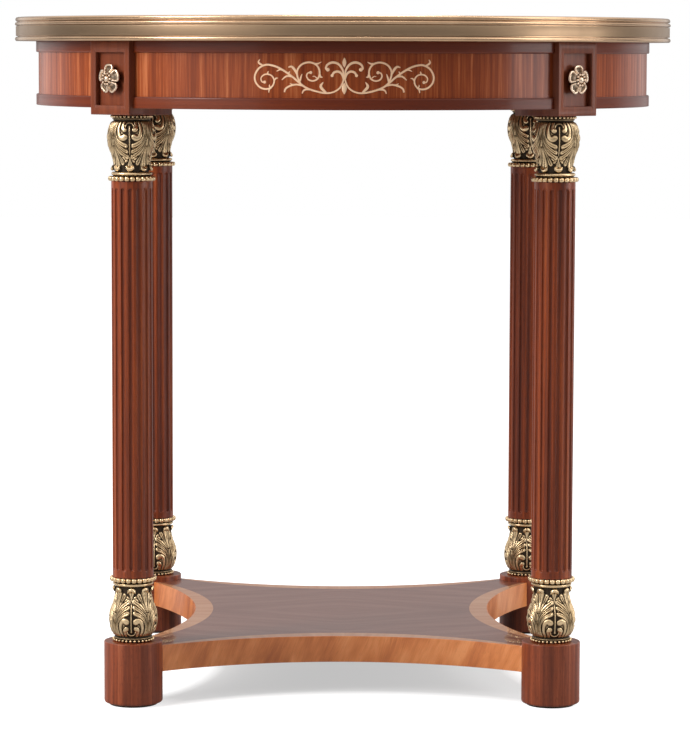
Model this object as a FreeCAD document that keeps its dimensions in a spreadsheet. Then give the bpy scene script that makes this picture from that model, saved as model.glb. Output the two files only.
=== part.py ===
import FreeCAD
import Part
import Sketcher
import math
import os
import re

# A round side table: a brass-edged top on a panelled apron, four fluted columns between cast
# brass mounts, and a hollow-sided platform shelf let in between round feet.
# Millimetres, +Z up, origin on the floor under the middle of the top, front towards -Y.

Vector = FreeCAD.Vector
Rotation = FreeCAD.Rotation

doc = FreeCAD.newDocument("side_table")

# Driving dimensions: name, millimetres, what is measured

SIZES = (
    ("table_height", 662, "floor to the crest of the brass edge"),
    ("top_diameter", 660, "across the brass edge"),
    ("edge_height", 23.7, "brass edge, bottom to crest"),
    ("edge_width", 6, "brass edge, inner face to outer face"),
    ("lip_height", 1.5, "crest of the brass edge above the tabletop"),
    ("lower_bead", 4.8, "bead along the bottom of the brass edge, height"),
    ("middle_bead", 3.8, "bead above the plain band, height"),
    ("crest_bead", 4.7, "bead at the crest, height"),
    ("crest_setback", 0.7, "bead at the crest, behind the others"),
    ("flat_setback", 0.8, "plain band behind the beads"),
    ("bead_quirk", 1.8, "grooves beside the beads, depth"),
    ("crest_width", 1.2, "flat on the crest of the brass edge"),
    ("veneer_thickness", 0.8, "face and edge veneers"),
    ("top_border", 45, "crossbanded border of the tabletop, width"),
    ("apron_setback", 21, "apron rails inside the edge of the top"),
    ("apron_height", 63.3, "apron, top to bottom"),
    ("rail_height", 11, "upper and lower apron rails"),
    ("rail_projection", 2.4, "rails in front of the panel field"),
    ("rail_round", 1.5, "rounded inner edge of the rails"),
    ("panel_thickness", 18, "bent apron panels"),
    ("inlay_thickness", 0.4, "brass scroll on the front panel"),
    ("inlay_width", 1.2, "stems of the brass scroll"),
    ("leg_setback", 44.5, "leg axes inside the edge of the top"),
    ("post_width", 55, "square posts at the corners of the apron"),
    ("post_drop", 6.5, "posts below the apron"),
    ("recess_width", 40, "sunk panel in the face of a post"),
    ("recess_height", 50, "sunk panel in the face of a post"),
    ("recess_depth", 5, "sunk panel in the face of a post"),
    ("recess_rise", 9, "sunk panel above the bottom of the post"),
    ("rosette_diameter", 29.4, "across the petals"),
    ("petal_height", 7.2, "petals above the back of the rosette"),
    ("boss_diameter", 7.5, "boss in the middle of the rosette"),
    ("boss_height", 9, "boss above the back of the rosette"),
    ("pearl_diameter", 2.1, "pearls round the boss"),
    ("pin_diameter", 3, "pin behind the rosette"),
    ("pin_length", 10, "pin behind the rosette"),
    ("column_diameter", 39.3, "fluted shaft"),
    ("flute_width", 4.4, "flute, edge to edge"),
    ("flute_depth", 2, "flute, at its middle"),
    ("flute_margin", 6.6, "plain shaft beyond the ends of the flutes"),
    ("spigot_diameter", 28, "column inside its mounts"),
    ("mount_height", 63, "cast mount at each end of a column"),
    ("mount_clearance", 0.2, "mount around the column's spigot"),
    ("plinth_height", 0.4, "plain rim beside the small beading"),
    ("small_ring", 39.8, "across the small beading"),
    ("small_bead", 2.6, "small beading, height"),
    ("step_height", 1.4, "plain step beside the small beading"),
    ("step_diameter", 38, "plain step beside the small beading"),
    ("bulge_diameter", 48, "mount across its leaves"),
    ("bulge_rise", 22, "widest part of the mount above its rim"),
    ("waist_diameter", 34.8, "mount beside its plain step"),
    ("neck_diameter", 33, "mount beside its plain collar"),
    ("collar_diameter", 39.6, "plain collar beside the large beading"),
    ("collar_height", 3.6, "plain collar beside the large beading"),
    ("large_ring", 46.2, "across the large beading"),
    ("large_bead", 4.9, "large beading, height"),
    ("leaf_relief", 1.4, "leaves in front of the body of the mount"),
    ("leaf_width", 27, "leaf, across its lower lobes"),
    ("leaf_height", 45.4, "leaf, foot to tip"),
    ("leaf_lift", 1, "foot of the leaf above the plain step"),
    ("rib_relief", 0.8, "middle ribs and stems in front of the leaves"),
    ("rib_width", 1.8, "middle ribs and stems"),
    ("curl_size", 5.4, "curled leaf tips, across"),
    ("foot_diameter", 56.4, "round foot"),
    ("foot_height", 60, "round foot without its pad"),
    ("foot_round", 1.2, "rounded upper edge of the foot"),
    ("foot_base_round", 2.8, "rounded lower edge of the foot"),
    ("pad_thickness", 2, "felt pad under the foot"),
    ("pad_diameter", 46, "felt pad under the foot"),
    ("shelf_thickness", 25.6, "shelf with its face veneer"),
    ("shelf_step", 5.3, "tops of the feet above the shelf"),
    ("shelf_edge_radius", 321, "hollow edges of the shelf"),
    ("leg_beyond_edge", 15.9, "leg axes outside the hollow edges of the shelf"),
    ("border_width", 18.7, "crossbanding at the middle of a shelf edge"),
    ("border_radius", 265, "inner line of the shelf crossbanding"),
    ("rod_diameter", 8, "tie rod through foot, column and post"),
    ("rod_clearance", 0.5, "bores around the tie rod"),
    ("rod_end", 2, "tie rod beyond its nuts"),
    ("nut_width", 13, "rod nuts, across the flats"),
    ("nut_height", 6.5, "rod nuts"),
    ("washer_diameter", 22, "rod washers"),
    ("washer_thickness", 1.6, "rod washers"),
    ("pocket_diameter", 25, "pockets for the rod nuts"),
    ("pocket_depth", 14, "pockets for the rod nuts"),
    ("dowel_diameter", 8, "dowels between posts and panels"),
    ("dowel_depth", 20, "dowel inside each of its two pieces"),
    ("dowel_rise", 14, "lower dowel above the bottom of the apron"),
    ("dowel_pitch", 28, "lower dowel to upper dowel"),
    ("shelf_dowel_diameter", 10, "dowels between shelf and feet"),
    ("shelf_dowel_in_foot", 18, "shelf dowel inside the foot"),
    ("shelf_dowel_in_shelf", 27, "shelf dowel inside the shelf"),
    ("block_length", 70, "top fixing blocks, along the apron"),
    ("block_depth", 24, "top fixing blocks, inward from the apron"),
    ("block_height", 25, "top fixing blocks"),
    ("screw_diameter", 4.5, "screws that hold the top down"),
    ("screw_head_diameter", 9, "screws that hold the top down"),
    ("screw_head_height", 3, "screws that hold the top down"),
    ("screw_bite", 14, "screw inside the top"),
    ("screw_pitch", 40, "between the two screws of a block"),
    ("screw_clearance", 0.3, "screw holes in the fixing blocks"),
)
FLUTES = 16
PETALS = 5
PEARLS = 10
LEAVES = 4

# Each leg's name, its direction from the middle of the table, and how far its column and its
# mounts are turned on the tie rod, in degrees
LEGS = (
    ("front_left", -135, 0, -2),
    ("front_right", -45, 11.25, 6),
    ("rear_right", 45, 0, 0),
    ("rear_left", 135, 0, 0),
)
# Each side's name and the turn that carries the front side there
SIDES = (("front", 0), ("right", 90), ("back", 180), ("left", 270))

# Derived places and sizes, as formulas of the sheet

edge_bottom = "(table_height - edge_height)"
tabletop = "(table_height - lip_height)"
top_radius = "(top_diameter / 2)"
core_radius = f"({top_radius} - edge_width)"
apron_bottom = f"({edge_bottom} - apron_height)"
rail_radius = f"({top_radius} - apron_setback)"
field_radius = f"({rail_radius} - rail_projection)"
panel_inside = f"({field_radius} - panel_thickness)"
leg_radius = f"({top_radius} - leg_setback)"
leg_offset = f"({leg_radius} * cos(45 deg))"
post_half = "(post_width / 2)"
post_bottom = f"({apron_bottom} - post_drop)"
recess_floor = f"({post_half} - recess_depth)"
recess_bottom = f"({post_bottom} + recess_rise)"
recess_middle = f"({recess_bottom} + recess_height / 2)"
foot_radius = "(foot_diameter / 2)"
foot_top = "(pad_thickness + foot_height)"
column_bottom = f"({foot_top} + mount_height)"
column_top = f"({post_bottom} - mount_height)"
column_radius = "(column_diameter / 2)"
spigot_radius = "(spigot_diameter / 2)"
rod_radius = "(rod_diameter / 2)"
rod_bore = f"({rod_radius} + rod_clearance)"
pocket_radius = "(pocket_diameter / 2)"
lower_pocket = "(pad_thickness + pocket_depth)"
upper_pocket = f"({edge_bottom} - pocket_depth)"
shelf_top = f"({foot_top} - shelf_step)"
shelf_bottom = f"({shelf_top} - shelf_thickness)"
shelf_core_thickness = "(shelf_thickness - veneer_thickness)"
# the hollow edges are arcs that pass the leg axes at a set distance
leg_from_centre = "(shelf_edge_radius + leg_beyond_edge)"
shelf_edge_centre = f"({leg_offset} + sqrt({leg_from_centre} ^ 2 - {leg_offset} ^ 2))"
border_centre = f"({shelf_edge_centre} - shelf_edge_radius - border_width + border_radius)"

# Sheet, formulas and measures

sheet = doc.addObject("Spreadsheet::Sheet", "Sizes")
for row, (alias, number, note) in enumerate(SIZES, start=1):
    sheet.set(f"A{row}", alias)
    sheet.set(f"B{row}", str(number))
    sheet.set(f"C{row}", note)
    sheet.setAlias(f"B{row}", alias)
doc.recompute()
ALIASES = {alias for alias, number, note in SIZES}


def formula(text):
    """The text with each size name pointed at its cell of the sheet."""
    return re.sub(r"[a-z_]+", lambda word: f"Sizes.{word[0]}" if word[0] in ALIASES else word[0], text)


def measure(text):
    return float(sheet.evalExpression(formula(text)))


def bind(feature, **sizes):
    for name, text in sizes.items():
        feature.setExpression(name, formula(text))
    return feature


def move(feature, x="0", y="0", z="0", rotation=Rotation()):
    """Turns the feature and ties its place to the sheet."""
    feature.Placement = FreeCAD.Placement(Vector(measure(x), measure(y), measure(z)), rotation)
    for axis, text in (("x", x), ("y", y), ("z", z)):
        if text != "0":
            feature.setExpression(f"Placement.Base.{axis}", formula(text))
    return feature


def about_x(degrees):
    return Rotation(Vector(1, 0, 0), degrees)


def about_y(degrees):
    return Rotation(Vector(0, 1, 0), degrees)


def about_z(degrees):
    return Rotation(Vector(0, 0, 1), degrees)


def polar(radius, degrees):
    return {"x": f"{radius} * cos({degrees} deg)", "y": f"{radius} * sin({degrees} deg)"}


# Building blocks


def cylinder(name, radius, height, **place):
    return move(bind(doc.addObject("Part::Cylinder", name), Radius=radius, Height=height), **place)


def box(name, length, width, height, **place):
    feature = bind(doc.addObject("Part::Box", name), Length=length, Width=width, Height=height)
    return move(feature, **place)


def ellipsoid(name, along_x, along_y, along_z, **place):
    feature = doc.addObject("Part::Ellipsoid", name)
    bind(feature, Radius1=along_z, Radius2=along_x, Radius3=along_y)
    return move(feature, **place)


def cut(name, base, tool):
    feature = doc.addObject("Part::Cut", name)
    feature.Base = base
    feature.Tool = tool
    return feature


def common(name, base, tool):
    feature = doc.addObject("Part::Common", name)
    feature.Base = base
    feature.Tool = tool
    return feature


def fuse(name, shapes):
    feature = doc.addObject("Part::MultiFuse", name)
    feature.Shapes = shapes
    return feature


def group(name, members, **place):
    """Separate solids kept side by side. With one member it is a placed copy of that piece."""
    feature = doc.addObject("Part::Compound", name)
    feature.Links = members
    return move(feature, **place)


def origin(body, role):
    return next(part for part in body.Origin.OriginFeatures if part.Role == role)


def pinned(geometry, vertex, x, y):
    """Sketch rules that hold a vertex at its formulas, measured from the sketch's origin."""
    rules = []
    for kind, axis, text in (("DistanceX", -2, x), ("DistanceY", -1, y)):
        if text == "0":
            rules.append((Sketcher.Constraint("PointOnObject", geometry, vertex, axis), None))
        else:
            rules.append((Sketcher.Constraint(kind, -1, 1, geometry, vertex, measure(text)), text))
    return rules


def draw(body, name, role, corners):
    """A closed outline in one of the body's own planes. A corner (x, y) is reached by a straight line
    from the corner before it, and a corner (x, y, via_x, via_y) by an arc through the via point."""
    sketch = body.newObject("Sketcher::SketchObject", name)
    sketch.AttachmentSupport = [(origin(body, role), "")]
    sketch.MapMode = "FlatFace"
    points = [Vector(measure(corner[0]), measure(corner[1]), 0) for corner in corners]
    ends = []
    for index, corner in enumerate(corners):
        start = points[index - 1]
        stop = points[index]
        if len(corner) == 2:
            sketch.addGeometry(Part.LineSegment(start, stop), False)
            ends.append((1, 2))
            continue
        via = Vector(measure(corner[2]), measure(corner[3]), 0)
        if (via - start).cross(stop - via).z > 0:
            sketch.addGeometry(Part.Arc(start, via, stop), False)
            ends.append((1, 2))
        else:
            sketch.addGeometry(Part.Arc(stop, via, start), False)
            ends.append((2, 1))
    rules = []
    for index, corner in enumerate(corners):
        after = (index + 1) % len(corners)
        meeting = Sketcher.Constraint("Coincident", index, ends[index][1], after, ends[after][0])
        rules.append((meeting, None))
        rules += pinned(index, ends[index][1], corner[0], corner[1])
        if len(corner) == 4:
            via = Vector(measure(corner[2]), measure(corner[3]), 0)
            point = sketch.addGeometry(Part.Point(via), True)
            rules += pinned(point, 1, corner[2], corner[3])
            rules.append((Sketcher.Constraint("PointOnObject", point, 1, index), None))
    for rule, text in rules:
        number = sketch.addConstraint(rule)
        if text:
            sketch.setExpression(f"Constraints[{number}]", formula(text))
    return sketch


def feature_of(body, kind, sketch, **sizes):
    feature = body.newObject(f"PartDesign::{kind}", f"{sketch.Name}_{kind.lower()}")
    feature.Profile = sketch
    body.Tip = feature
    return bind(feature, **sizes)


def spin(body, kind, sketch, axis="V_Axis"):
    feature = feature_of(body, kind, sketch)
    feature.ReferenceAxis = (sketch, [axis])
    feature.Angle = 360
    return feature


def turned(name, corners):
    """A piece turned about Z from a half section of (radius, height) corners."""
    body = doc.addObject("PartDesign::Body", name)
    spin(body, "Revolution", draw(body, f"{name}_section", "XZ_Plane", corners))
    return body


def around_axis(body, feature, count):
    """Repeats a feature of the body evenly around its Z axis."""
    pattern = body.newObject("PartDesign::PolarPattern", f"{feature.Name}_pattern")
    pattern.Originals = [feature]
    pattern.Axis = (origin(body, "Z_Axis"), [""])
    pattern.Angle = 360
    pattern.Occurrences = count
    body.Tip = pattern


parts = []


def sub_part(feature, label):
    feature.Label = label
    parts.append(feature)


def on_each_leg(master, label, turns=(0, 0, 0, 0), rotation=Rotation()):
    """One copy of a piece, drawn at the origin and facing -Y, facing outward on each leg axis."""
    for (leg, angle, _, _), extra in zip(LEGS, turns):
        place = polar(leg_radius, angle)
        copy = group(f"{label}_{leg}", [master], rotation=about_z(angle + 90 + extra) * rotation, **place)
        sub_part(copy, f"{label}_{leg}")


def group_on_legs(master, label):
    copies = []
    for leg, angle, _, _ in LEGS:
        place = polar(leg_radius, angle)
        copies.append(group(f"{label}_{leg}", [master], rotation=about_z(angle + 90), **place))
    sub_part(group(f"{label}_group", copies), label)


def on_each_side(master, label):
    for side, angle in SIDES:
        sub_part(group(f"{label}_{side}", [master], rotation=about_z(angle)), f"{label}_{side}")


def group_on_sides(master, label):
    copies = [group(f"{label}_{side}", [master], rotation=about_z(angle)) for side, angle in SIDES]
    sub_part(group(f"{label}_group", copies), label)


# Leg pieces are drawn on the leg's axis, at their height above the floor, facing -Y.


def make_columns():
    column = turned("column", [
        (rod_bore, foot_top),
        (spigot_radius, foot_top),
        (spigot_radius, column_bottom),
        (column_radius, column_bottom),
        (column_radius, column_top),
        (spigot_radius, column_top),
        (spigot_radius, post_bottom),
        (rod_bore, post_bottom),
    ])
    # a flute is cut by a round-ended rod of this radius, sunk into the shaft by the flute's depth
    flute = "((flute_width ^ 2 / 4 + flute_depth ^ 2) / (2 * flute_depth))"
    axis = f"({column_radius} - flute_depth + {flute})"
    low = f"({column_bottom} + flute_margin)"
    high = f"({column_top} - flute_margin)"
    slant = f"{flute} * cos(45 deg)"
    sketch = draw(column, "flute", "XZ_Plane", [
        (axis, low),
        (f"{axis} - {flute}", f"{low} + {flute}", f"{axis} - {slant}", f"{low} + {flute} - {slant}"),
        (f"{axis} - {flute}", f"{high} - {flute}"),
        (axis, high, f"{axis} - {slant}", f"{high} - {flute} + {slant}"),
    ])
    ends = [Vector(measure(axis), measure(height), 0) for height in (low, high)]
    rod_axis = sketch.addGeometry(Part.LineSegment(*ends), True)
    sketch.addConstraint(Sketcher.Constraint("Coincident", rod_axis, 1, 0, 2))
    sketch.addConstraint(Sketcher.Constraint("Coincident", rod_axis, 2, 0, 1))
    around_axis(column, spin(column, "Groove", sketch, "Axis0"), FLUTES)
    on_each_leg(column, "column", [column_turn for _, _, column_turn, _ in LEGS])


def make_mounts():
    """The cast mount, drawn as the base on a column's foot. Turned over, it is the capital."""
    bore = f"({spigot_radius} + mount_clearance)"
    core = f"({bore} + 1)"
    bead_foot = "(small_ring / 2 - small_bead / 2)"
    bead_top = "(plinth_height + small_bead)"
    step_top = f"({bead_top} + step_height)"
    waist = "(waist_diameter / 2)"
    neck = "(neck_diameter / 2)"
    body_bulge = "(bulge_diameter / 2 - leaf_relief)"
    shoulder = f"(({neck} + {body_bulge}) / 2)"
    collar_top = "(mount_height - large_bead)"
    collar_bottom = f"({collar_top} - collar_height)"
    shoulder_rise = f"(bulge_rise * 0.6 + {collar_bottom} * 0.4)"
    collar_edge = "(collar_diameter / 2 - collar_height / 3)"
    pearl_edge = "(large_ring / 2 - large_bead / 2)"

    def bell(relief):
        """The swelling body, from the plain step up to the collar, thickened by the relief."""
        return [
            (f"{waist} + {relief}", step_top),
            (f"{shoulder} + {relief}", shoulder_rise, f"{body_bulge} + {relief}", "bulge_rise"),
            (f"{neck} + {relief}", collar_bottom,
             f"{shoulder} * 0.25 + {neck} * 0.75 + {relief}", f"({shoulder_rise} + {collar_bottom}) / 2"),
        ]

    casting = turned("mount_body", [
        (bore, "0"),
        (bead_foot, "0"),
        (bead_foot, "plinth_height"),
        (bead_foot, bead_top, "small_ring / 2", "plinth_height + small_bead / 2"),
        ("step_diameter / 2", bead_top),
        ("step_diameter / 2", step_top),
        *bell("0"),
        (collar_edge, collar_bottom),
        (collar_edge, collar_top, "collar_diameter / 2", f"{collar_top} - collar_height / 2"),
        (pearl_edge, collar_top),
        (pearl_edge, "mount_height", "large_ring / 2", "mount_height - large_bead / 2"),
        (bore, "mount_height"),
    ])

    # leaf outline as shares of half its width and of its height, right side from foot to tip
    lobes = ((0.62, 0.36, 1.0, 0.16), (0.45, 0.62, 0.86, 0.5), (0.24, 0.82, 0.56, 0.73))
    leaf_foot = f"({step_top} + leaf_lift)"

    def leaf_point(across, up):
        return (f"leaf_width / 2 * {across}", f"{leaf_foot} + leaf_height * {up}")

    right = [leaf_point(0.2, 0)]
    right += [leaf_point(x, z) + leaf_point(via_x, via_z) for x, z, via_x, via_z in lobes]
    left = [leaf_point(-0.24, 0.82) + ("0", f"{leaf_foot} + leaf_height")]
    for x, z, via_x, via_z in ((0.45, 0.62, 0.56, 0.73), (0.62, 0.36, 0.86, 0.5), (0.2, 0, 1, 0.16)):
        left.append(leaf_point(-x, z) + leaf_point(-via_x, via_z))

    leaves = doc.addObject("PartDesign::Body", "leaf_prisms")
    leaf = draw(leaves, "leaf", "XZ_Plane", right + left)
    around_axis(leaves, feature_of(leaves, "Pad", leaf, Length="bulge_diameter"), LEAVES)
    leaf_skin = turned("leaf_skin", [(core, step_top), *bell("leaf_relief"), (core, collar_bottom)])

    # a middle rib on each leaf, and a thin stem between each leaf and the next
    ribs = doc.addObject("PartDesign::Body", "rib_prisms")
    rib = draw(ribs, "rib", "XZ_Plane", [
        ("-rib_width / 2", leaf_foot),
        ("rib_width / 2", leaf_foot),
        ("rib_width / 2", f"{leaf_foot} + leaf_height"),
        ("-rib_width / 2", f"{leaf_foot} + leaf_height"),
    ])
    around_axis(ribs, feature_of(ribs, "Pad", rib, Length="bulge_diameter"), 2 * LEAVES)
    rib_face = bell("leaf_relief + rib_relief")
    rib_skin = turned("rib_skin", [(core, step_top), *rib_face, (core, collar_bottom)])

    curls = []
    for number in range(2 * LEAVES):
        angle = 360 / (2 * LEAVES) * number
        curls.append(ellipsoid(
            f"curl_{number}", "curl_size * 0.4", "curl_size / 2", "curl_size * 0.45",
            z=f"{leaf_foot} + leaf_height - curl_size / 4", rotation=about_z(angle),
            **polar(f"({neck} + curl_size * 0.4)", angle)))
    mount = fuse("mount", [
        casting,
        common("leaf_relief_carved", leaf_skin, leaves),
        common("rib_relief_carved", rib_skin, ribs),
        *curls,
    ])
    turns = [mount_turn for _, _, _, mount_turn in LEGS]
    base = group("base_on_foot", [mount], z=foot_top)
    on_each_leg(base, "base_mount", turns)
    capital = group("capital_under_post", [mount], z=post_bottom, rotation=about_x(180))
    on_each_leg(capital, "capital", turns)


def make_feet(dowel):
    low = "pad_thickness"
    upper = "foot_round * (1 - cos(45 deg))"
    lower = "foot_base_round * (1 - cos(45 deg))"
    foot = turned("foot_turning", [
        (rod_bore, lower_pocket),
        (pocket_radius, lower_pocket),
        (pocket_radius, low),
        (f"{foot_radius} - foot_base_round", low),
        (foot_radius, f"{low} + foot_base_round", f"{foot_radius} - {lower}", f"{low} + {lower}"),
        (foot_radius, f"{foot_top} - foot_round"),
        (f"{foot_radius} - foot_round", foot_top, f"{foot_radius} - {upper}", f"{foot_top} - {upper}"),
        (rod_bore, foot_top),
    ])
    on_each_leg(cut("foot", foot, dowel), "foot")
    group_on_legs(cylinder("pad", "pad_diameter / 2", "pad_thickness"), "foot_pads")


def make_posts(dowels):
    post = doc.addObject("PartDesign::Body", "post_block")
    square = draw(post, "post_square", "XY_Plane", [
        (f"-{post_half}", f"-{post_half}"),
        (post_half, f"-{post_half}"),
        (post_half, post_half),
        (f"-{post_half}", post_half),
    ])
    square.setExpression("AttachmentOffset.Base.z", formula(post_bottom))
    feature_of(post, "Pad", square, Length="apron_height + post_drop")

    recess = draw(post, "post_recess", "XZ_Plane", [
        ("-recess_width / 2", recess_bottom),
        ("recess_width / 2", recess_bottom),
        ("recess_width / 2", f"{recess_bottom} + recess_height"),
        ("-recess_width / 2", f"{recess_bottom} + recess_height"),
    ])
    recess.setExpression("AttachmentOffset.Base.z", formula(recess_floor))
    feature_of(post, "Pocket", recess, Length="recess_depth").Reversed = True

    pin = "pin_diameter / 2"
    hole = draw(post, "pin_hole", "XZ_Plane", [
        (pin, recess_middle, "0", f"{recess_middle} - {pin}"),
        (f"-{pin}", recess_middle, "0", f"{recess_middle} + {pin}"),
    ])
    hole.setExpression("AttachmentOffset.Base.z", formula(recess_floor))
    feature_of(post, "Pocket", hole, Length="pin_length")

    bore = draw(post, "rod_hole", "XZ_Plane", [
        ("0", post_bottom),
        (rod_bore, post_bottom),
        (rod_bore, upper_pocket),
        (pocket_radius, upper_pocket),
        (pocket_radius, edge_bottom),
        ("0", edge_bottom),
    ])
    spin(post, "Groove", bore)
    on_each_leg(cut("post", post, dowels), "leg_post")


def make_rosettes():
    """A five-petalled flower, drawn facing +Z and turned to face outward in a post's sunk panel."""
    petal_centre = "(rosette_diameter * 0.29)"
    petal_length = f"(rosette_diameter / 2 - {petal_centre})"
    petals = []
    dishes = []
    pearls = []
    for number in range(PETALS):
        angle = 90 + 360 / PETALS * number
        place = polar(petal_centre, angle)
        petals.append(ellipsoid(
            f"petal_{number}", petal_length, f"{petal_length} * 0.92", "petal_height",
            rotation=about_z(angle), **place))
        dishes.append(ellipsoid(
            f"dish_{number}", f"{petal_length} * 0.72", f"{petal_length} * 0.6", "petal_height * 0.45",
            z="petal_height", rotation=about_z(angle), **place))
    for number in range(PEARLS):
        place = polar("(boss_diameter / 2 + pearl_diameter * 0.4)", 360 / PEARLS * number)
        size = "pearl_diameter / 2"
        pearls.append(ellipsoid(f"pearl_{number}", size, size, size, z="petal_height * 0.75", **place))
    boss = ellipsoid("boss", "boss_diameter / 2", "boss_diameter / 2", "boss_height")
    disc = cylinder("rosette_disc", f"{petal_centre} * 0.8", "petal_height * 0.6")
    dished = cut("petals", fuse("petal_ring", petals), group("dish_ring", dishes))
    flower = fuse("flower", [dished, disc, boss, *pearls])
    front = cylinder("rosette_front", "rosette_diameter", "rosette_diameter")
    pin = cylinder("rosette_pin", "pin_diameter / 2", "pin_length + petal_height * 0.5", z="-pin_length")
    rosette = fuse("rosette", [common("flower_front", flower, front), pin])
    facing = group("rosette_on_post", [rosette],
                   y=f"-{recess_floor}", z=recess_middle, rotation=about_x(90))
    on_each_leg(facing, "rosette")


def make_tie_rods():
    washer_low = f"({lower_pocket} - washer_thickness)"
    nut_low = f"({washer_low} - nut_height)"
    nut_high = f"({upper_pocket} + washer_thickness)"
    rod_low = f"({nut_low} - rod_end)"
    rod_high = f"({nut_high} + nut_height + rod_end)"
    rod = cylinder("rod", rod_radius, f"{rod_high} - {rod_low}", z=rod_low)
    group_on_legs(rod, "tie_rods")
    nuts = []
    washers = []
    for end, nut_z, washer_z in (("low", nut_low, washer_low), ("high", nut_high, upper_pocket)):
        hexagon = bind(doc.addObject("Part::Prism", f"hexagon_{end}"),
                       Circumradius="nut_width / 2 / cos(30 deg)", Height="nut_height")
        nuts.append(cut(f"nut_{end}", move(hexagon, z=nut_z), rod))
        disc = cylinder(f"disc_{end}", "washer_diameter / 2", "washer_thickness", z=washer_z)
        hole = cylinder(f"washer_hole_{end}", rod_bore, "washer_thickness", z=washer_z)
        washers.append(cut(f"washer_{end}", disc, hole))
    group_on_legs(group("nut_pair", nuts), "tie_rod_nuts")
    group_on_legs(group("washer_pair", washers), "tie_rod_washers")


def make_apron_dowels():
    """Two dowels on each side of a post, on the middle line of the bent panels that meet it."""
    middle = f"({field_radius} - panel_thickness / 2)"
    reach = f"sqrt({middle} ^ 2 - ({post_half} + dowel_depth / 2) ^ 2)"
    dowels = []
    for side, x in (("left", f"-{post_half} - dowel_depth"), ("right", f"{post_half} - dowel_depth")):
        for row, lift in (("lower", "0"), ("upper", "dowel_pitch")):
            height = f"{apron_bottom} + dowel_rise + {lift}"
            dowels.append(cylinder(
                f"dowel_{side}_{row}", "dowel_diameter / 2", "2 * dowel_depth", x=x,
                y=f"{leg_radius} - {reach}", z=height, rotation=about_y(90)))
    dowels = group("post_dowels", dowels)
    group_on_legs(dowels, "apron_dowels")
    return dowels


def make_apron(dowels):
    """Bent panels between the posts, each faced with an upper and a lower rail."""
    front = box("between_posts", f"2 * {rail_radius}", f"2 * {rail_radius}", "table_height",
                y=f"-{post_half} * sqrt(2)", rotation=about_z(-135))
    panel_ring = turned("panel_ring", [
        (panel_inside, apron_bottom),
        (field_radius, apron_bottom),
        (field_radius, edge_bottom),
        (panel_inside, edge_bottom),
    ])
    ends = []
    for leg, angle, _, _ in LEGS[:2]:
        place = polar(leg_radius, angle)
        ends.append(group(f"panel_dowels_{leg}", [dowels], rotation=about_z(angle + 90), **place))
    panel = common("panel_blank", panel_ring, front)
    on_each_side(cut("panel", panel, group("panel_dowels", ends)), "apron_panel")

    rounding = "rail_round * (1 - cos(45 deg))"
    rounded = f"{rail_radius} - {rounding}"
    lower_top = f"({apron_bottom} + rail_height)"
    upper_low = f"({edge_bottom} - rail_height)"
    lower_ring = turned("lower_rail_ring", [
        (field_radius, apron_bottom),
        (rail_radius, apron_bottom),
        (rail_radius, f"{lower_top} - rail_round"),
        (f"{rail_radius} - rail_round", lower_top, rounded, f"{lower_top} - {rounding}"),
        (field_radius, lower_top),
    ])
    upper_ring = turned("upper_rail_ring", [
        (field_radius, upper_low),
        (f"{rail_radius} - rail_round", upper_low),
        (rail_radius, f"{upper_low} + rail_round", rounded, f"{upper_low} + {rounding}"),
        (rail_radius, edge_bottom),
        (field_radius, edge_bottom),
    ])
    on_each_side(common("lower_rail", lower_ring, front), "lower_rail")
    on_each_side(common("upper_rail", upper_ring, front), "upper_rail")


# The scroll on the front panel. Each stem of its right half is a start, a heading in degrees and
# its stretches: (radius, turn) for an arc, left turns positive, and (length, 0) for a straight one.

STEMS = (
    ((0.6, 0), -90, ((15.4, 90), (43, 40), (8, 0), (40, -40), (9.5, -90), (11.7, -90), (8, -90),
                     (6.3, -90), (5.2, -90), (2.6, -110))),
    ((41.5, -7), 60, ((16, 30), (10.5, 90), (10, 90), (6.3, 90), (4.8, 90), (2.6, 130))),
    ((0.6, 0), 90, ((4, 0), (9, -90), (6.5, -90), (1.9, -150))),
    ((0.6, -1.5), 80, ((6.4, -80), (4.2, -90), (1.6, -120))),
    ((44, 0), 80, ((7, -75),)),
    ((48.5, -2), 25, ((10, -50),)),
    ((36, -10.3), 20, ((22, -55),)),
    ((16, -15.6), 30, ((7, 80), (9, 20))),
    ((76, 8.6), 60, ((12, -25),)),
)
BUD_HALF_WIDTH = 2
BUD_SPAN = (7.5, 16.5)
BALL_STEMS = 4


def stem_face(start, heading, stretches, width):
    """A flat ribbon along tangent arcs, in the XZ plane, and the point where it ends."""
    point = Vector(start[0], 0, start[1])
    angle = math.radians(heading)
    half = width / 2
    left_edges = []
    right_edges = []
    for size, degrees in stretches:
        normal = Vector(-math.sin(angle), 0, math.cos(angle))
        if degrees == 0:
            stop = point + Vector(math.cos(angle), 0, math.sin(angle)) * size
            left_edges.append(Part.makeLine(point + normal * half, stop + normal * half))
            right_edges.append(Part.makeLine(stop - normal * half, point - normal * half))
            point = stop
            continue
        side = math.copysign(1, degrees)
        centre = point + normal * (side * size)

        def on_arc(share, offset):
            swung = angle + math.radians(degrees) * share
            outward = Vector(math.sin(swung), 0, -math.cos(swung)) * side
            return centre + outward * (size - side * offset)

        left_edges.append(Part.Arc(on_arc(0, half), on_arc(0.5, half), on_arc(1, half)).toShape())
        right_edges.append(Part.Arc(on_arc(1, -half), on_arc(0.5, -half), on_arc(0, -half)).toShape())
        point = on_arc(1, 0)
        angle += math.radians(degrees)
    loop = list(left_edges)
    loop.append(Part.makeLine(left_edges[-1].Vertexes[-1].Point, right_edges[-1].Vertexes[0].Point))
    loop += reversed(right_edges)
    loop.append(Part.makeLine(right_edges[0].Vertexes[-1].Point, left_edges[0].Vertexes[0].Point))
    return Part.Face(Part.Wire(Part.__sortEdges__(loop))), point


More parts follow.
